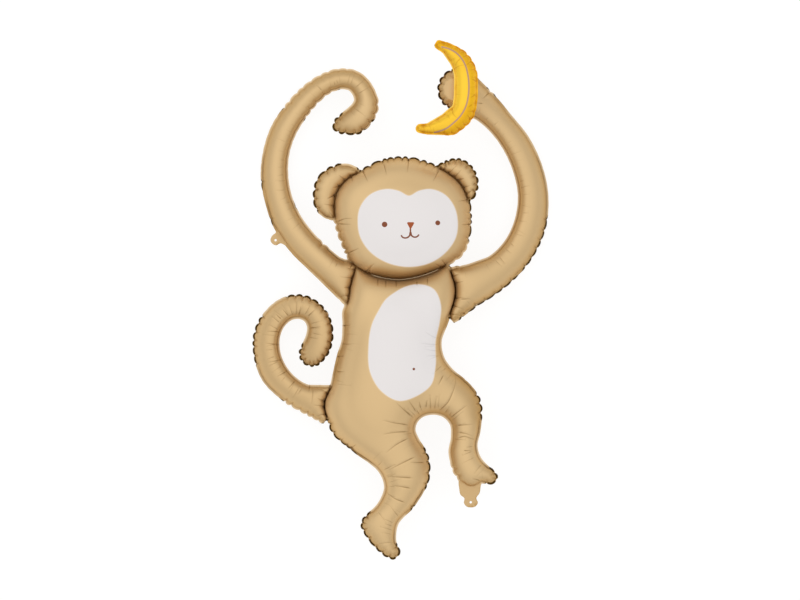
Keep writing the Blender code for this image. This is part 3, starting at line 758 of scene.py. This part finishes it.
def loop_edges(loops, start):
    """The edges of closed loops of points that follow one another."""
    pairs = []
    for loop in loops:
        turn = np.arange(len(loop))
        pairs.append(np.c_[start + turn, start + (turn + 1) % len(loop)])
        start += len(loop)
    return np.vstack(pairs)


def welded(rim, holes, tabs, welds, front, back):
    """Both sheets as one: plan points, triangles, half thickness, side, which are blown, sharp edges."""
    lines = [weld.points for weld in welds]
    loops = [rim] + holes
    shared = sum(map(len, loops))
    front_start = shared + len(tabs)
    plan = np.vstack(loops + [tabs] + lines)
    links = np.vstack([loop_edges(loops, 0), loop_edges(lines, front_start)])
    _, _, flange, *_ = delaunay_2d_cdt([tuple(point) for point in plan], links.tolist(), [], 0, 1e-7)
    flange = np.array(flange)
    area = turned_area(plan, flange)
    middle = plan[flange].mean(axis=1)
    kept = inside(middle, rim) & (np.abs(area) > SLIVER)
    for loop in holes + lines:
        kept &= ~inside(middle, loop)
    kept &= (flange >= shared).any(axis=1)  # front and back would share a triangle of rim points alone
    flange[area < 0] = flange[area < 0][:, ::-1]
    flange = flange[kept]
    # rim and holes are shared; the rest is numbered once for the front and once for the back
    back_tabs = front_start + len(front[0])
    back_start = back_tabs + len(tabs)
    turned = np.arange(len(plan))
    turned[shared:] += back_tabs - shared
    plan = np.vstack(loops + [tabs, front[0], tabs, back[0]])
    turned_back = [turned[flange][:, ::-1], back[1][:, ::-1] + back_start]
    triangles = np.vstack([flange, front[1] + front_start] + turned_back)
    half, side, blown = np.zeros(len(plan)), np.ones(len(plan)), np.zeros(len(plan), bool)
    half[front_start:back_tabs], half[back_start:] = front[2], back[2]
    half[shared:] = np.maximum(half[shared:], FOIL / 2)
    side[back_tabs:] = -1
    blown[front_start:back_tabs] = blown[back_start:] = True
    sharp = np.vstack([loop_edges(loops, 0), loop_edges(lines, front_start), loop_edges(lines, back_start)])
    return plan, triangles, half, side, blown, sharp


MM = 0.001  # a millimetre, in metres


def along_welds(welds, plan, half, blown):
    """What each point has from its weld: the weld point it hangs from, its distance, its part and its place
    along the weld, how strongly it gathers, and what it carries for the gathering."""
    every, normal = np.vstack([weld.points for weld in welds]), np.vstack([weld.normal for weld in welds])
    hung, far = nearest(plan, every)
    part = np.repeat(np.arange(len(welds)), [len(weld.points) for weld in welds])[hung]
    tangent = np.c_[-normal[:, 1], normal[:, 0]]
    past = np.sum((plan - every[hung]) * tangent[hung], axis=1)
    run = np.hstack([weld.run[:-1] for weld in welds])[hung] + past
    phase, bite = np.zeros(len(plan)), np.zeros(len(plan))
    for k, weld in enumerate(welds):
        phase[part == k], bite[part == k] = weld.phase(run[part == k])
    gather = np.hstack([weld.gather for weld in welds])[hung] * bite
    from_weld = np.where(blown, np.hypot(far, half), -far)
    carried = {"phase": phase, "gather": gather, "from_weld": from_weld * MM,
               "outward": np.c_[normal[hung], np.zeros(len(plan))]}
    return hung, far, part, run, from_weld, gather, carried


plan, triangles, half, side, blown, sharp = welded(rim, holes, tabs, welds, front, back)
hung, far, part, run, from_weld, gather, carried_on = along_welds(welds, plan, half, blown)

# Lying down: the axis of each part is tipped from its hinge until the part touches the floor.
PRESSED = 4.0  # depth to which the floor flattens the backs that lie on it
LEG_DROOP = 25.0  # how far the lower foot hangs below the body's weld plane
DROOP_TOP, DROOP_LENGTH = -250, 390  # where the legs start to hang, and how far it is to the lower foot
TIPPED = 40  # a part counts as lying free from this far beyond its hinge
HELD = 6.0  # depth to which hand and banana press each other flat
CLEAR = 0.3  # gap between hand and banana
HAND = 400  # the hand is the part of the right arm above this
OPEN = 1000.0  # height at which nothing presses
names = list(chambers)
axis = half[part == 0].max() - PRESSED
middle = np.full(len(plan), axis)
hinges = {"head": ((-60, 60), (60, 60)), "left arm": (SHOULDER_LEFT[-1], SHOULDER_LEFT[0]),
          "right arm": (SHOULDER_RIGHT[-1], SHOULDER_RIGHT[0]), "tail": (TAIL_ROOT[-1], TAIL_ROOT[0])}
for name, ((ax, ay), (bx, by)) in hinges.items():
    own = part == names.index(name)
    reach = ((plan[:, 1] - ay) * (bx - ax) - (plan[:, 0] - ax) * (by - ay)) / math.hypot(bx - ax, by - ay)
    out = own & (reach > TIPPED)
    fall = np.min((axis + PRESSED - half[out]) / reach[out])
    if name == "head":
        own |= (part == names.index("left ear")) | (part == names.index("right ear"))
    middle[own] = axis - fall * reach[own]
low = (part == 0) & (plan[:, 1] < DROOP_TOP)
middle[low] -= LEG_DROOP * ((DROOP_TOP - plan[low, 1]) / DROOP_LENGTH) ** 2
height = np.maximum(middle + side * half, 0)
hand = (part == names.index("right arm")) & (plan[:, 1] > HAND) & (side > 0)
held = height[hand].max() - HELD
height[hand] = np.minimum(height[hand], held)

# What each point carries for the gathering, for the painted shade and highlights, and for the print.
SHADE_REACH, FOLD_REACH = 15, 1.5  # lengths over which the shade and the thin line beside a weld fade out
TAB_PALE, TAB_EDGE = 0.1, 0.4  # the tabs get a little painted highlight and some painted edge shade, a little deeper in colour than the foil
draw, shade, fold, strip, edge, reach, pale, least, groove = (
    np.hstack([getattr(weld, key) for weld in welds])[hung]
    for key in ("draw", "shade", "fold", "strip", "edge", "reach", "pale", "least", "groove"))
on_seam = np.hstack([weld.seam for weld in welds])[hung]
draw = gather * draw * np.where(blown, np.exp(-far / 8), 1 + 0.9 * far / RIM)
crease = creased(plan, long_creases + short_creases) * (side > 0) + creased(plan, short_creases) * (side < 0)
crease[~blown] = 0
frill = gather * np.clip(far / RIM, 0, 1) * ~blown
# shade painted on the gathered frill of the flange
frill_shade = placed(plan, 4, np.ones(len(plan))) * frill
above = np.maximum(from_weld, 0)
# Shade painted beside the seams and the neck, and in thin dark lines along the welds; on the flange only in
# the seams, not under the chin.
shade = np.maximum(shade * np.exp(-above / SHADE_REACH), fold * np.exp(-above / (FOLD_REACH + groove)))
shade *= np.where(blown, 1, 1 - strip)
shade[~on_seam & ~blown] = 0
# Shade painted towards the welds, where the foil turns away from the light; on the flange wherever it has no
# painted highlight.
painted_edge_shade = edge * (1 - eased(above / reach)) * (0.65 + 0.35 * eased(above / 12))
edge = np.maximum(np.where(blown, painted_edge_shade, 0.8 * (1 - pale)), least)
on_tab = ~blown & np.any([inside(plan, outline) for outline in tab_outlines], axis=0)
pale[on_tab], edge[on_tab], frill_shade[on_tab] = TAB_PALE, TAB_EDGE, 0
white, brown, nose = np.full((3, len(plan)), -PRINT_REACH)
seen = blown & (side > 0)
white[seen], brown[seen], nose[seen] = printed(plan[seen])


def put(name, data):
    """Puts a mesh, a lamp or a camera into the scene."""
    made = bpy.data.objects.new(name, data)
    bpy.context.scene.collection.objects.link(made)
    return made


def sheet_mesh(name, verts, triangles, carried, sharp):
    """A smooth mesh with what each of its points carries; sharp are the ends of its sharp edges."""
    used = np.unique(triangles)
    number = np.full(len(verts), -1)
    number[used] = np.arange(len(used))
    verts, triangles, sharp = verts[used], number[triangles], number[sharp]
    sharp = sharp[(sharp >= 0).all(axis=1)]
    mesh = bpy.data.meshes.new(name)
    mesh.from_pydata((verts * MM).tolist(), [], triangles.tolist())
    mesh.validate()
    mesh.shade_smooth()
    for key, values in carried.items():
        values = values[used]
        kind = "FLOAT" if values.ndim == 1 else "FLOAT_VECTOR"
        layer = mesh.attributes.new(key, kind, "POINT")
        layer.data.foreach_set("value" if values.ndim == 1 else "vector", values.ravel().astype(np.float32))
    ends = np.empty(len(mesh.edges) * 2, np.int32)
    mesh.edges.foreach_get("vertices", ends)
    ends = np.sort(ends.reshape(-1, 2), axis=1)
    size = len(verts)
    marked = np.sort(sharp, axis=1)
    hard = np.isin(ends[:, 0] * size + ends[:, 1], marked[:, 0] * size + marked[:, 1])
    mesh.attributes.new("sharp_edge", "BOOLEAN", "EDGE").data.foreach_set("value", hard)
    return put(name, mesh)


CENTRE = (1.64, -0.13)  # middle of the flat figure, which the frame has over its origin
monkey = sheet_mesh("monkey_foil_balloon", np.c_[plan - CENTRE, height], triangles, carried_on | {
    "draw": draw, "crease": crease, "frill": frill, "frill_shade": frill_shade, "edge": edge,
    "pale": np.where(blown, 0, pale), "pressed_at": np.where(hand, held, OPEN) * MM,
    "rests_at": np.zeros(len(plan)), "white": white, "brown": brown, "nose": nose, "shade": shade,
}, sharp)


def add(tree, kind, *feeds, pick=0, **settings):
    """A node of the tree, its inputs fed in order, None for one left alone; gives one of its outputs."""
    made = tree.nodes.new(kind)
    for name, value in settings.items():
        setattr(made, name, value)
    for socket, feed in zip([socket for socket in made.inputs if socket.enabled], feeds):
        if isinstance(feed, bpy.types.NodeSocket):
            tree.links.new(feed, socket)
        elif feed is not None:
            socket.default_value = feed
    return [socket for socket in made.outputs if socket.enabled][pick]


FADE = 1.7  # how quickly a scallop's height fades on either side of its peak
NO_DENTS = -60.0  # how quickly, per metre, the dents fade towards a weld
FRILL_REST = 0.4  # height of a scallop, as a share, at which the rim stays level


def gathering():
    """The node tree that draws foil into scallops along its welds, sinks its creases and dents it softly."""
    tree = bpy.data.node_groups.new("gathered_foil", "GeometryNodeTree")
    tree.interface.new_socket("Geometry", in_out="INPUT", socket_type="NodeSocketGeometry")
    for name in ("Scallop height", "Scallop rest", "Scallop peak", "Scallop roundness", "Weld shift",
                 "Weld rest", "Frill lift", "Crease depth", "Dent depth", "Dent size"):
        tree.interface.new_socket(name, in_out="INPUT", socket_type="NodeSocketFloat")
    tree.interface.new_socket("Foil", in_out="INPUT", socket_type="NodeSocketMaterial")
    tree.interface.new_socket("Geometry", in_out="OUTPUT", socket_type="NodeSocketGeometry")
    given = tree.nodes.new("NodeGroupInput").outputs

    def calc(operation, *feeds):
        return add(tree, "ShaderNodeMath", *feeds, operation=operation)

    def carried(name, kind="FLOAT"):
        return add(tree, "GeometryNodeInputNamedAttribute", name, data_type=kind)

    def scaled(vector, amount):
        return add(tree, "ShaderNodeVectorMath", vector, amount, operation="SCALE")

    def summed(a, b):
        return add(tree, "ShaderNodeVectorMath", a, b, operation="ADD")

    arch = calc("SINE", calc("MULTIPLY", carried("phase"), math.pi))
    arch = calc("POWER", arch, given["Scallop roundness"])
    depth = calc("MAXIMUM", carried("from_weld"), 0.0)
    near = calc("DIVIDE", depth, given["Scallop peak"])
    fade = calc("POWER", calc("MULTIPLY", near, calc("EXPONENT", calc("SUBTRACT", 1.0, near))), FADE)
    swell = calc("MULTIPLY", calc("SUBTRACT", arch, given["Scallop rest"]), given["Scallop height"])
    swell = calc("MULTIPLY", swell, calc("MULTIPLY", carried("gather"), fade))
    sink = calc("MULTIPLY", carried("crease"), given["Crease depth"])
    wave = add(tree, "ShaderNodeTexNoise", None, None, calc("DIVIDE", 1.0, given["Dent size"]), 1.0, 0.4,
               noise_dimensions="3D")
    open_foil = calc("SUBTRACT", 1.0, calc("EXPONENT", calc("MULTIPLY", depth, NO_DENTS)))
    dent = calc("MULTIPLY", calc("MULTIPLY", calc("SUBTRACT", wave, 0.5), given["Dent depth"]), open_foil)
    rise = calc("ADD", calc("SUBTRACT", swell, sink), dent)
    shift = calc("MULTIPLY", calc("SUBTRACT", arch, given["Weld rest"]), given["Weld shift"])
    shift = calc("MULTIPLY", shift, carried("draw"))
    lift = calc("MULTIPLY", carried("frill"), calc("SUBTRACT", arch, FRILL_REST))
    lift = calc("MULTIPLY", lift, given["Frill lift"])
    move = scaled(add(tree, "GeometryNodeInputNormal"), rise)
    move = summed(move, scaled(carried("outward", "FLOAT_VECTOR"), shift))
    place = summed(add(tree, "GeometryNodeInputPosition"), move)
    parts = tree.nodes.new("ShaderNodeSeparateXYZ")
    tree.links.new(place, parts.inputs[0])
    level = calc("ADD", parts.outputs["Z"], lift)
    level = calc("MINIMUM", calc("MAXIMUM", level, carried("rests_at")), carried("pressed_at"))
    place = add(tree, "ShaderNodeCombineXYZ", parts.outputs["X"], parts.outputs["Y"], level)
    moved = add(tree, "GeometryNodeSetPosition", given["Geometry"], None, place)
    whole = add(tree, "GeometryNodeRealizeInstances", moved)
    made = add(tree, "GeometryNodeSetMaterial", whole, None, given["Foil"])
    tree.links.new(made, tree.nodes.new("NodeGroupOutput").inputs["Geometry"])
    return tree


def gathered(made, tree, sizes):
    """Runs the node tree on an object with these sizes and leaves the result as its plain mesh."""
    fit = made.modifiers.new("gathered", "NODES")
    fit.node_group = tree
    for item in tree.interface.items_tree:
        if item.in_out == "INPUT" and item.name in sizes:
            fit[item.identifier] = sizes[item.name]
    graph = bpy.context.evaluated_depsgraph_get()
    shaped = made.evaluated_get(graph)
    plain = bpy.data.meshes.new_from_object(shaped, preserve_all_data_layers=True, depsgraph=graph)
    made.modifiers.clear()
    made.data = plain


# Satin foil, printed in beige, white and brown. The prints follow the distances that the mesh carries.
# Shade is painted into the beige towards the welds and in the creases, seams and frills, and a
# highlight is painted on the flat flange; bare foil shines more than printed.
# Painted shade: the deep beige towards the welds, and the browns of folds, rims and creases. Painted
# highlight: the pale beige of the flange.
BEIGE, SHADED_BEIGE, EDGE_SHADE_BEIGE = (0.70, 0.505, 0.27), (0.65, 0.45, 0.22), (0.42, 0.24, 0.07)
FLANGE_HIGHLIGHT_BEIGE, INK_EDGE = (0.82, 0.66, 0.45), (0.80, 0.64, 0.45)
FOLD_SHADE_BROWN, RIM_SHADE_BROWN, CREASE_SHADE_BROWN = (0.11, 0.037, 0.0), (0.070, 0.036, 0.005), (0.24, 0.12, 0.03)
WHITE, CREASE_SHADE_WHITE = (0.81, 0.785, 0.79), (0.42, 0.41, 0.41)
EYE_BROWN, NOSE_BROWN = (0.23, 0.075, 0.04), (0.37, 0.095, 0.038)
FOIL_TINT = (0.85, 0.6, 0.32, 1)
METAL, INKED_METAL = 0.7, 0.02  # how metallic bare and printed foil are


def material(name):
    """A new material, its node tree and its shader."""
    made = bpy.data.materials.new(name)
    made.use_nodes = True
    return made, made.node_tree, made.node_tree.nodes["Principled BSDF"]


def dial(shader, **amounts):
    """Sets inputs of a shader, whose names have _ for a space here."""
    for name, amount in amounts.items():
        shader.inputs[name.replace("_", " ")].default_value = amount


def share(value, low, high, start=0.0, end=1.0):
    """A value eased from start at low to end at high."""
    return add(tree, "ShaderNodeMapRange", value, low, high, start, end, interpolation_type="SMOOTHSTEP")


def mixed(amount, a, b):
    """Two colours mixed."""
    made = tree.nodes.new("ShaderNodeMix")
    made.data_type = "RGBA"
    for socket, feed in (("Factor_Float", amount), ("A_Color", a), ("B_Color", b)):
        place = next(each for each in made.inputs if each.identifier == socket)
        if isinstance(feed, bpy.types.NodeSocket):
            tree.links.new(feed, place)
        else:
            place.default_value = feed if socket == "Factor_Float" else (*feed, 1)
    return next(each for each in made.outputs if each.identifier == "Result_Color")


def carried(name):
    """A number that the mesh carries at its points."""
    made = tree.nodes.new("ShaderNodeAttribute")
    made.attribute_name = name
    return made.outputs["Fac"]


def calc(operation, *feeds):
    """A sum, product or the like of its feeds."""
    return add(tree, "ShaderNodeMath", *feeds, operation=operation)


def speckle(scale, detail, roughness):
    """An uneven value over the foil, finer for a greater scale."""
    return add(tree, "ShaderNodeTexNoise", place, None, scale, detail, roughness)


foil, tree, shader = material("beige_satin_foil")
place = add(tree, "ShaderNodeTexCoord", pick=3)
cloud = speckle(9.0, 2.0, 0.5)
colour = mixed(calc("MULTIPLY", calc("SUBTRACT", cloud, 0.42), 0.5), BEIGE, SHADED_BEIGE)
# shade painted towards the welds, then the highlight painted on the flange
colour = mixed(carried("pale"), mixed(carried("edge"), colour, EDGE_SHADE_BEIGE), FLANGE_HIGHLIGHT_BEIGE)
# shade painted in the creases
colour = mixed(calc("MULTIPLY", carried("crease"), 0.85), colour, CREASE_SHADE_BROWN)
# shade painted in the seams and in thin lines along the welds
colour = mixed(carried("shade"), colour, FOLD_SHADE_BROWN)
# shade painted on the frill, in the middle of each scallop
arch = calc("SINE", calc("MULTIPLY", carried("phase"), math.pi))
dashed = add(tree, "ShaderNodeMix", share(carried("gather"), 0.25, 0.6), 1.0, share(arch, 0.25, 0.55))
colour = mixed(calc("MULTIPLY", share(carried("frill_shade"), 0.08, 0.25), dashed), colour, RIM_SHADE_BROWN)
is_white = share(carried("white"), -0.3, 0.3)
is_brown = share(carried("brown"), -0.25, 0.25)
is_nose = share(carried("nose"), -0.25, 0.25)
colour = mixed(share(carried("white"), -3.0, -0.8), colour, INK_EDGE)
# shade painted in the creases that cross the white print
white = mixed(calc("MULTIPLY", carried("crease"), 0.7), WHITE, CREASE_SHADE_WHITE)
colour = mixed(is_white, colour, white)
colour = mixed(is_brown, colour, EYE_BROWN)
colour = mixed(is_nose, colour, NOSE_BROWN)
tree.links.new(colour, shader.inputs["Base Color"])
dial(shader, Specular_Tint=FOIL_TINT, Specular_IOR_Level=0.25)
ink = calc("MAXIMUM", is_white, calc("MAXIMUM", is_brown, is_nose))
tree.links.new(share(ink, 0.0, 1.0, METAL, INKED_METAL), shader.inputs["Metallic"])
mottle = speckle(60.0, 3.0, 0.55)
rough = calc("ADD", share(mottle, 0.3, 0.7, 0.46, 0.54), calc("MULTIPLY", ink, 0.1))
tree.links.new(rough, shader.inputs["Roughness"])
grain = speckle(900.0, 2.0, 0.6)
bump = tree.nodes.new("ShaderNodeBump")
dial(bump, Strength=0.06, Distance=0.0004)
tree.links.new(grain, bump.inputs["Height"])
tree.links.new(bump.outputs["Normal"], shader.inputs["Normal"])

scallops = gathering()
gathered(monkey, scallops, {
    "Scallop height": 0.005, "Scallop rest": 0.4, "Scallop peak": 0.0065, "Scallop roundness": 0.55,
    "Weld shift": 0.004, "Weld rest": 0.72, "Frill lift": 0.003, "Crease depth": 0.0022,
    "Dent depth": 0.0016, "Dent size": 0.09, "Foil": foil,
})
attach(monkey, "root")
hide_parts("monkey_balloon")

# ---------------------------------------------------------------------------------------------
# Banana balloon. A small envelope of yellow satin foil, blown up by itself and stuck on the front
# of the right hand, which it flattens where they press on each other. A grey line is printed on it.
# ---------------------------------------------------------------------------------------------
BANANA = [  # centreline with half widths, from the stalk to the tip
    (87.5, 643, 3.2), (91, 640.3, 6.3), (98, 636, 8), (118.5, 626, 12), (135.5, 612.5, 17.8),
    (153.5, 590, 22.5), (163, 565, 25), (164.5, 530, 26), (163, 497, 26), (155, 467, 26),
    (137, 450, 27), (118.5, 436.5, 25), (92, 426, 17.5), (70, 426.5, 10.7), (50.5, 427.5, 7.7)
]
BANANA_RIM = 4.0  # width of its flat weld
STRIPE = [  # the printed line
    (104.4, 630.8), (117, 627.5), (129, 622.5), (143, 613), (154, 600.5), (162.3, 585.5), (169, 561),
    (171.7, 533.5), (169.7, 505.5), (163.5, 481), (151, 459), (132, 440), (115.5, 427.5), (96, 420),
    (86, 417.5),
]
STRIPE_WIDTH = 4.0
SMALL_STEP, SMALL_PITCH = 1.6, 21  # distance between its weld points, and pitch of its scallops
ROUND_END, END_EASE = 20, 25  # up to this far from its ends it gathers less
STRIPE_REACH = 30.0  # furthest distance from the printed line that the points carry
BANANA_CREASES = [  # the clearest ones: corners, depth, width
    ([(130, 572), (146, 582), (162, 586)], 0.8, 2.2), ([(121, 596), (138, 603)], 0.7, 2.4),
    ([(129, 480), (133, 462), (144, 452)], 1.0, 2.6), ([(118, 462), (124, 450)], 0.7, 2.4),
    ([(150, 601), (140, 590), (137, 578)], 0.8, 2.6), ([(190, 545), (176, 552)], 1.0, 2.4),
    ([(188, 512), (176, 503)], 1.0, 2.4), ([(180, 487), (168, 478)], 0.8, 2.2),
]
outline = limb(BANANA, 1.5)
small_weld = Weld(outline, SMALL_PITCH, [], SMALL_STEP)
from_ends = [far_from(small_weld.points, end) for end in (BANANA[0], BANANA[-1])]
full = eased((np.min(from_ends, axis=0) - ROUND_END) / END_EASE)
small_weld.gather = eased((small_weld.bend - 0.004) / 0.008) * (0.2 + 0.8 * full)
creases = []
for notch in small_weld.cusps:
    k = small_weld.at(notch)
    length, lean = chance.uniform(5, 16), chance.uniform(-0.3, 0.3)
    depth = 0.4 + 0.4 * small_weld.gather[k]
    creases.append((small_weld.crease(k, lean, 1.0, 3 + length), depth, NOTCH_WIDTH))
creases += BANANA_CREASES
detail = [(line_points(STRIPE, 1.5, STRIPE_WIDTH / 2), 0.9), (crease_points(creases, 1.6, True), 0.9)]
front = blow_up([small_weld], [6], 1.7, 1.7, detail)
back = blow_up([small_weld], [4], 3.0, 3.0, [])
rim = spread(offset(outline, BANANA_RIM), SMALL_STEP)
plan, triangles, half, side, blown, sharp = welded(rim, [], np.empty((0, 2)), [small_weld], front, back)
hung, far, _, run, from_weld, gather, carried_on = along_welds([small_weld], plan, half, blown)

# It lies on the hand. What each point carries: the printed line and its side, and where shade and a highlight
# are painted.
LINE_SIDE = -0.08  # per mm across the line, how fast the yellow changes
MIDDLE, MIDDLE_HALF, END_DEPTH = 527, 30, 30  # the yellow is even in the middle; towards both ends it is darker and the shade painted near the welds stronger
middle = held + CLEAR + half.max() - HELD
height = np.maximum(middle + side * half, held + CLEAR)
draw = gather * np.where(blown, np.exp(-far / 5), 1 + 0.5 * far / BANANA_RIM)
line = path(STRIPE, 1)
stripe = np.full(len(plan), -STRIPE_REACH)
seen = blown & (side > 0)
stripe[seen] = STRIPE_WIDTH / 2 - to_line(plan[seen], line)
closest, _ = nearest(plan, line)
ahead = line[np.minimum(closest + 1, len(line) - 1)] - line[np.maximum(closest - 1, 0)]
off = plan - line[closest]
across = (ahead[:, 1] * off[:, 0] - ahead[:, 0] * off[:, 1]) / np.hypot(*ahead.T)
beside = eased(0.5 + across * LINE_SIDE)  # on which side of the line, 1 towards the outer weld
# 1 along the outer weld, whose flange has painted shade, 0 along the inner one, whose flange has a painted
# highlight
weld_side = eased(0.5 + small_weld.bend * 60)[hung]
ends = eased((np.abs(plan[:, 1] - MIDDLE) - MIDDLE_HALF) / END_DEPTH)
# Shade painted towards the welds, uneven along them, stronger along the outer weld and towards both ends.
patch = 0.5 + 0.5 * np.sin(run / 11.0) * np.sin(run / 4.3 + 1)
edge = (1 - eased(from_weld / 20)) * (0.05 + 0.75 * np.maximum(ends, weld_side) * patch) + 0.15 * ends
banana = sheet_mesh("banana_foil_balloon", np.c_[plan - CENTRE, height], triangles, carried_on | {
    "draw": draw, "crease": creased(plan, creases) * (side > 0) * blown, "frill": gather * ~blown,
    "edge": np.where(blown, edge, 0.8 * weld_side * patch), "pale": (1 - weld_side) * ~blown,
    "pressed_at": np.full(len(plan), OPEN * MM), "rests_at": np.full(len(plan), (held + CLEAR) * MM),
    "stripe": stripe, "beside": beside,
}, sharp)

# Yellow satin foil with shade painted towards the welds, the ends and in the creases, a highlight painted on
# the inner flange, and the grey line printed on it.
yellow, tree, shader = material("yellow_satin_foil")
# Painted shade: the deep yellow towards the welds and the creased yellow. Painted highlight: the pale yellow
# of the inner flange.
YELLOW, OUTER_YELLOW, EDGE_SHADE_YELLOW = (0.98, 0.63, 0.055), (0.92, 0.52, 0.022), (0.62, 0.24, 0.004)
FLANGE_HIGHLIGHT_YELLOW, CREASE_SHADE_YELLOW, STRIPE_GREY = (0.95, 0.72, 0.18), (0.42, 0.13, 0.008), (0.52, 0.31, 0.20)
YELLOW_TINT = (0.95, 0.55, 0.08, 1)
place = add(tree, "ShaderNodeTexCoord", pick=3)
colour = mixed(carried("beside"), YELLOW, OUTER_YELLOW)
# shade painted towards the welds, a highlight painted on the inner flange, and shade painted in the creases
colour = mixed(carried("edge"), colour, EDGE_SHADE_YELLOW)
colour = mixed(carried("pale"), colour, FLANGE_HIGHLIGHT_YELLOW)
colour = mixed(calc("MULTIPLY", carried("crease"), 0.6), colour, CREASE_SHADE_YELLOW)
colour = mixed(share(carried("stripe"), -0.25, 0.25), colour, STRIPE_GREY)
tree.links.new(colour, shader.inputs["Base Color"])
dial(shader, Metallic=0.4, Specular_Tint=YELLOW_TINT, Specular_IOR_Level=0.2)
mottle = speckle(90.0, 3.0, 0.55)
tree.links.new(share(mottle, 0.3, 0.7, 0.38, 0.46), shader.inputs["Roughness"])
gathered(banana, scallops, {
    "Scallop height": 0.0042, "Scallop rest": 0.4, "Scallop peak": 0.005, "Scallop roundness": 0.65,
    "Weld shift": 0.0018, "Weld rest": 0.67, "Frill lift": 0.0015, "Crease depth": 0.0018,
    "Dent depth": 0.0016, "Dent size": 0.03, "Foil": yellow,
})
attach(banana, "root")
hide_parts("banana_balloon")

# ---------------------------------------------------------------------------------------------
# Studio. A plain pale floor, lit by one large soft lamp from the upper left and by an even sky, and
# looked at from straight above through a long lens.
# ---------------------------------------------------------------------------------------------
FLOOR = 6  # half of its side, in metres, as are the sizes below
FLOOR_GREY, FLOOR_GLOW = (0.14, 0.14, 0.14, 1), 0.88
corners = [(-FLOOR, -FLOOR, 0), (FLOOR, -FLOOR, 0), (FLOOR, FLOOR, 0), (-FLOOR, FLOOR, 0)]
mesh = bpy.data.meshes.new("floor")
mesh.from_pydata(corners, [], [(0, 1, 2, 3)])
floor = put("floor", mesh)
pale, _, shader = material("pale_floor")
dial(shader, Base_Color=FLOOR_GREY, Emission_Color=(1, 1, 1, 1), Emission_Strength=FLOOR_GLOW, Roughness=0.9)
mesh.materials.append(pale)

LEVEL_GLOW, TOP_GLOW, GLOW_TOP = 0.5, 1.14, 0.95  # brightness of the sky level with the floor and overhead
WARM_WHITE = (1, 0.99, 0.975, 1)
world = bpy.data.worlds.new("studio")
bpy.context.scene.world = world
world.use_nodes = True
tree = world.node_tree
sky = tree.nodes["Background"]
direction = tree.nodes.new("ShaderNodeSeparateXYZ")
tree.links.new(add(tree, "ShaderNodeTexCoord", pick=0), direction.inputs[0])
tree.links.new(share(direction.outputs["Z"], 0.0, GLOW_TOP, LEVEL_GLOW, TOP_GLOW), sky.inputs["Strength"])
sky.inputs["Color"].default_value = WARM_WHITE

LAMP_SIDE, LAMP_POWER, LAMP_PLACE, LAMP_TILT = 3.5, 16, (-2.6, 2.8, 3.6), (-38, -32)
lamp = bpy.data.lights.new("softbox", "AREA")
lamp.shape = "RECTANGLE"
lamp.size, lamp.size_y = LAMP_SIDE, LAMP_SIDE
lamp.energy = LAMP_POWER
softbox = put("softbox", lamp)
softbox.location = LAMP_PLACE
softbox.rotation_euler = (math.radians(LAMP_TILT[0]), math.radians(LAMP_TILT[1]), 0)

LENS, CAMERA_PLACE = 324, (-0.0016, 0.0001, 18.1)
lens = bpy.data.cameras.new("camera")
lens.lens = LENS
camera = put("camera", lens)
camera.location = CAMERA_PLACE
bpy.context.scene.camera = camera
bpy.context.scene.view_settings.view_transform = "Standard"
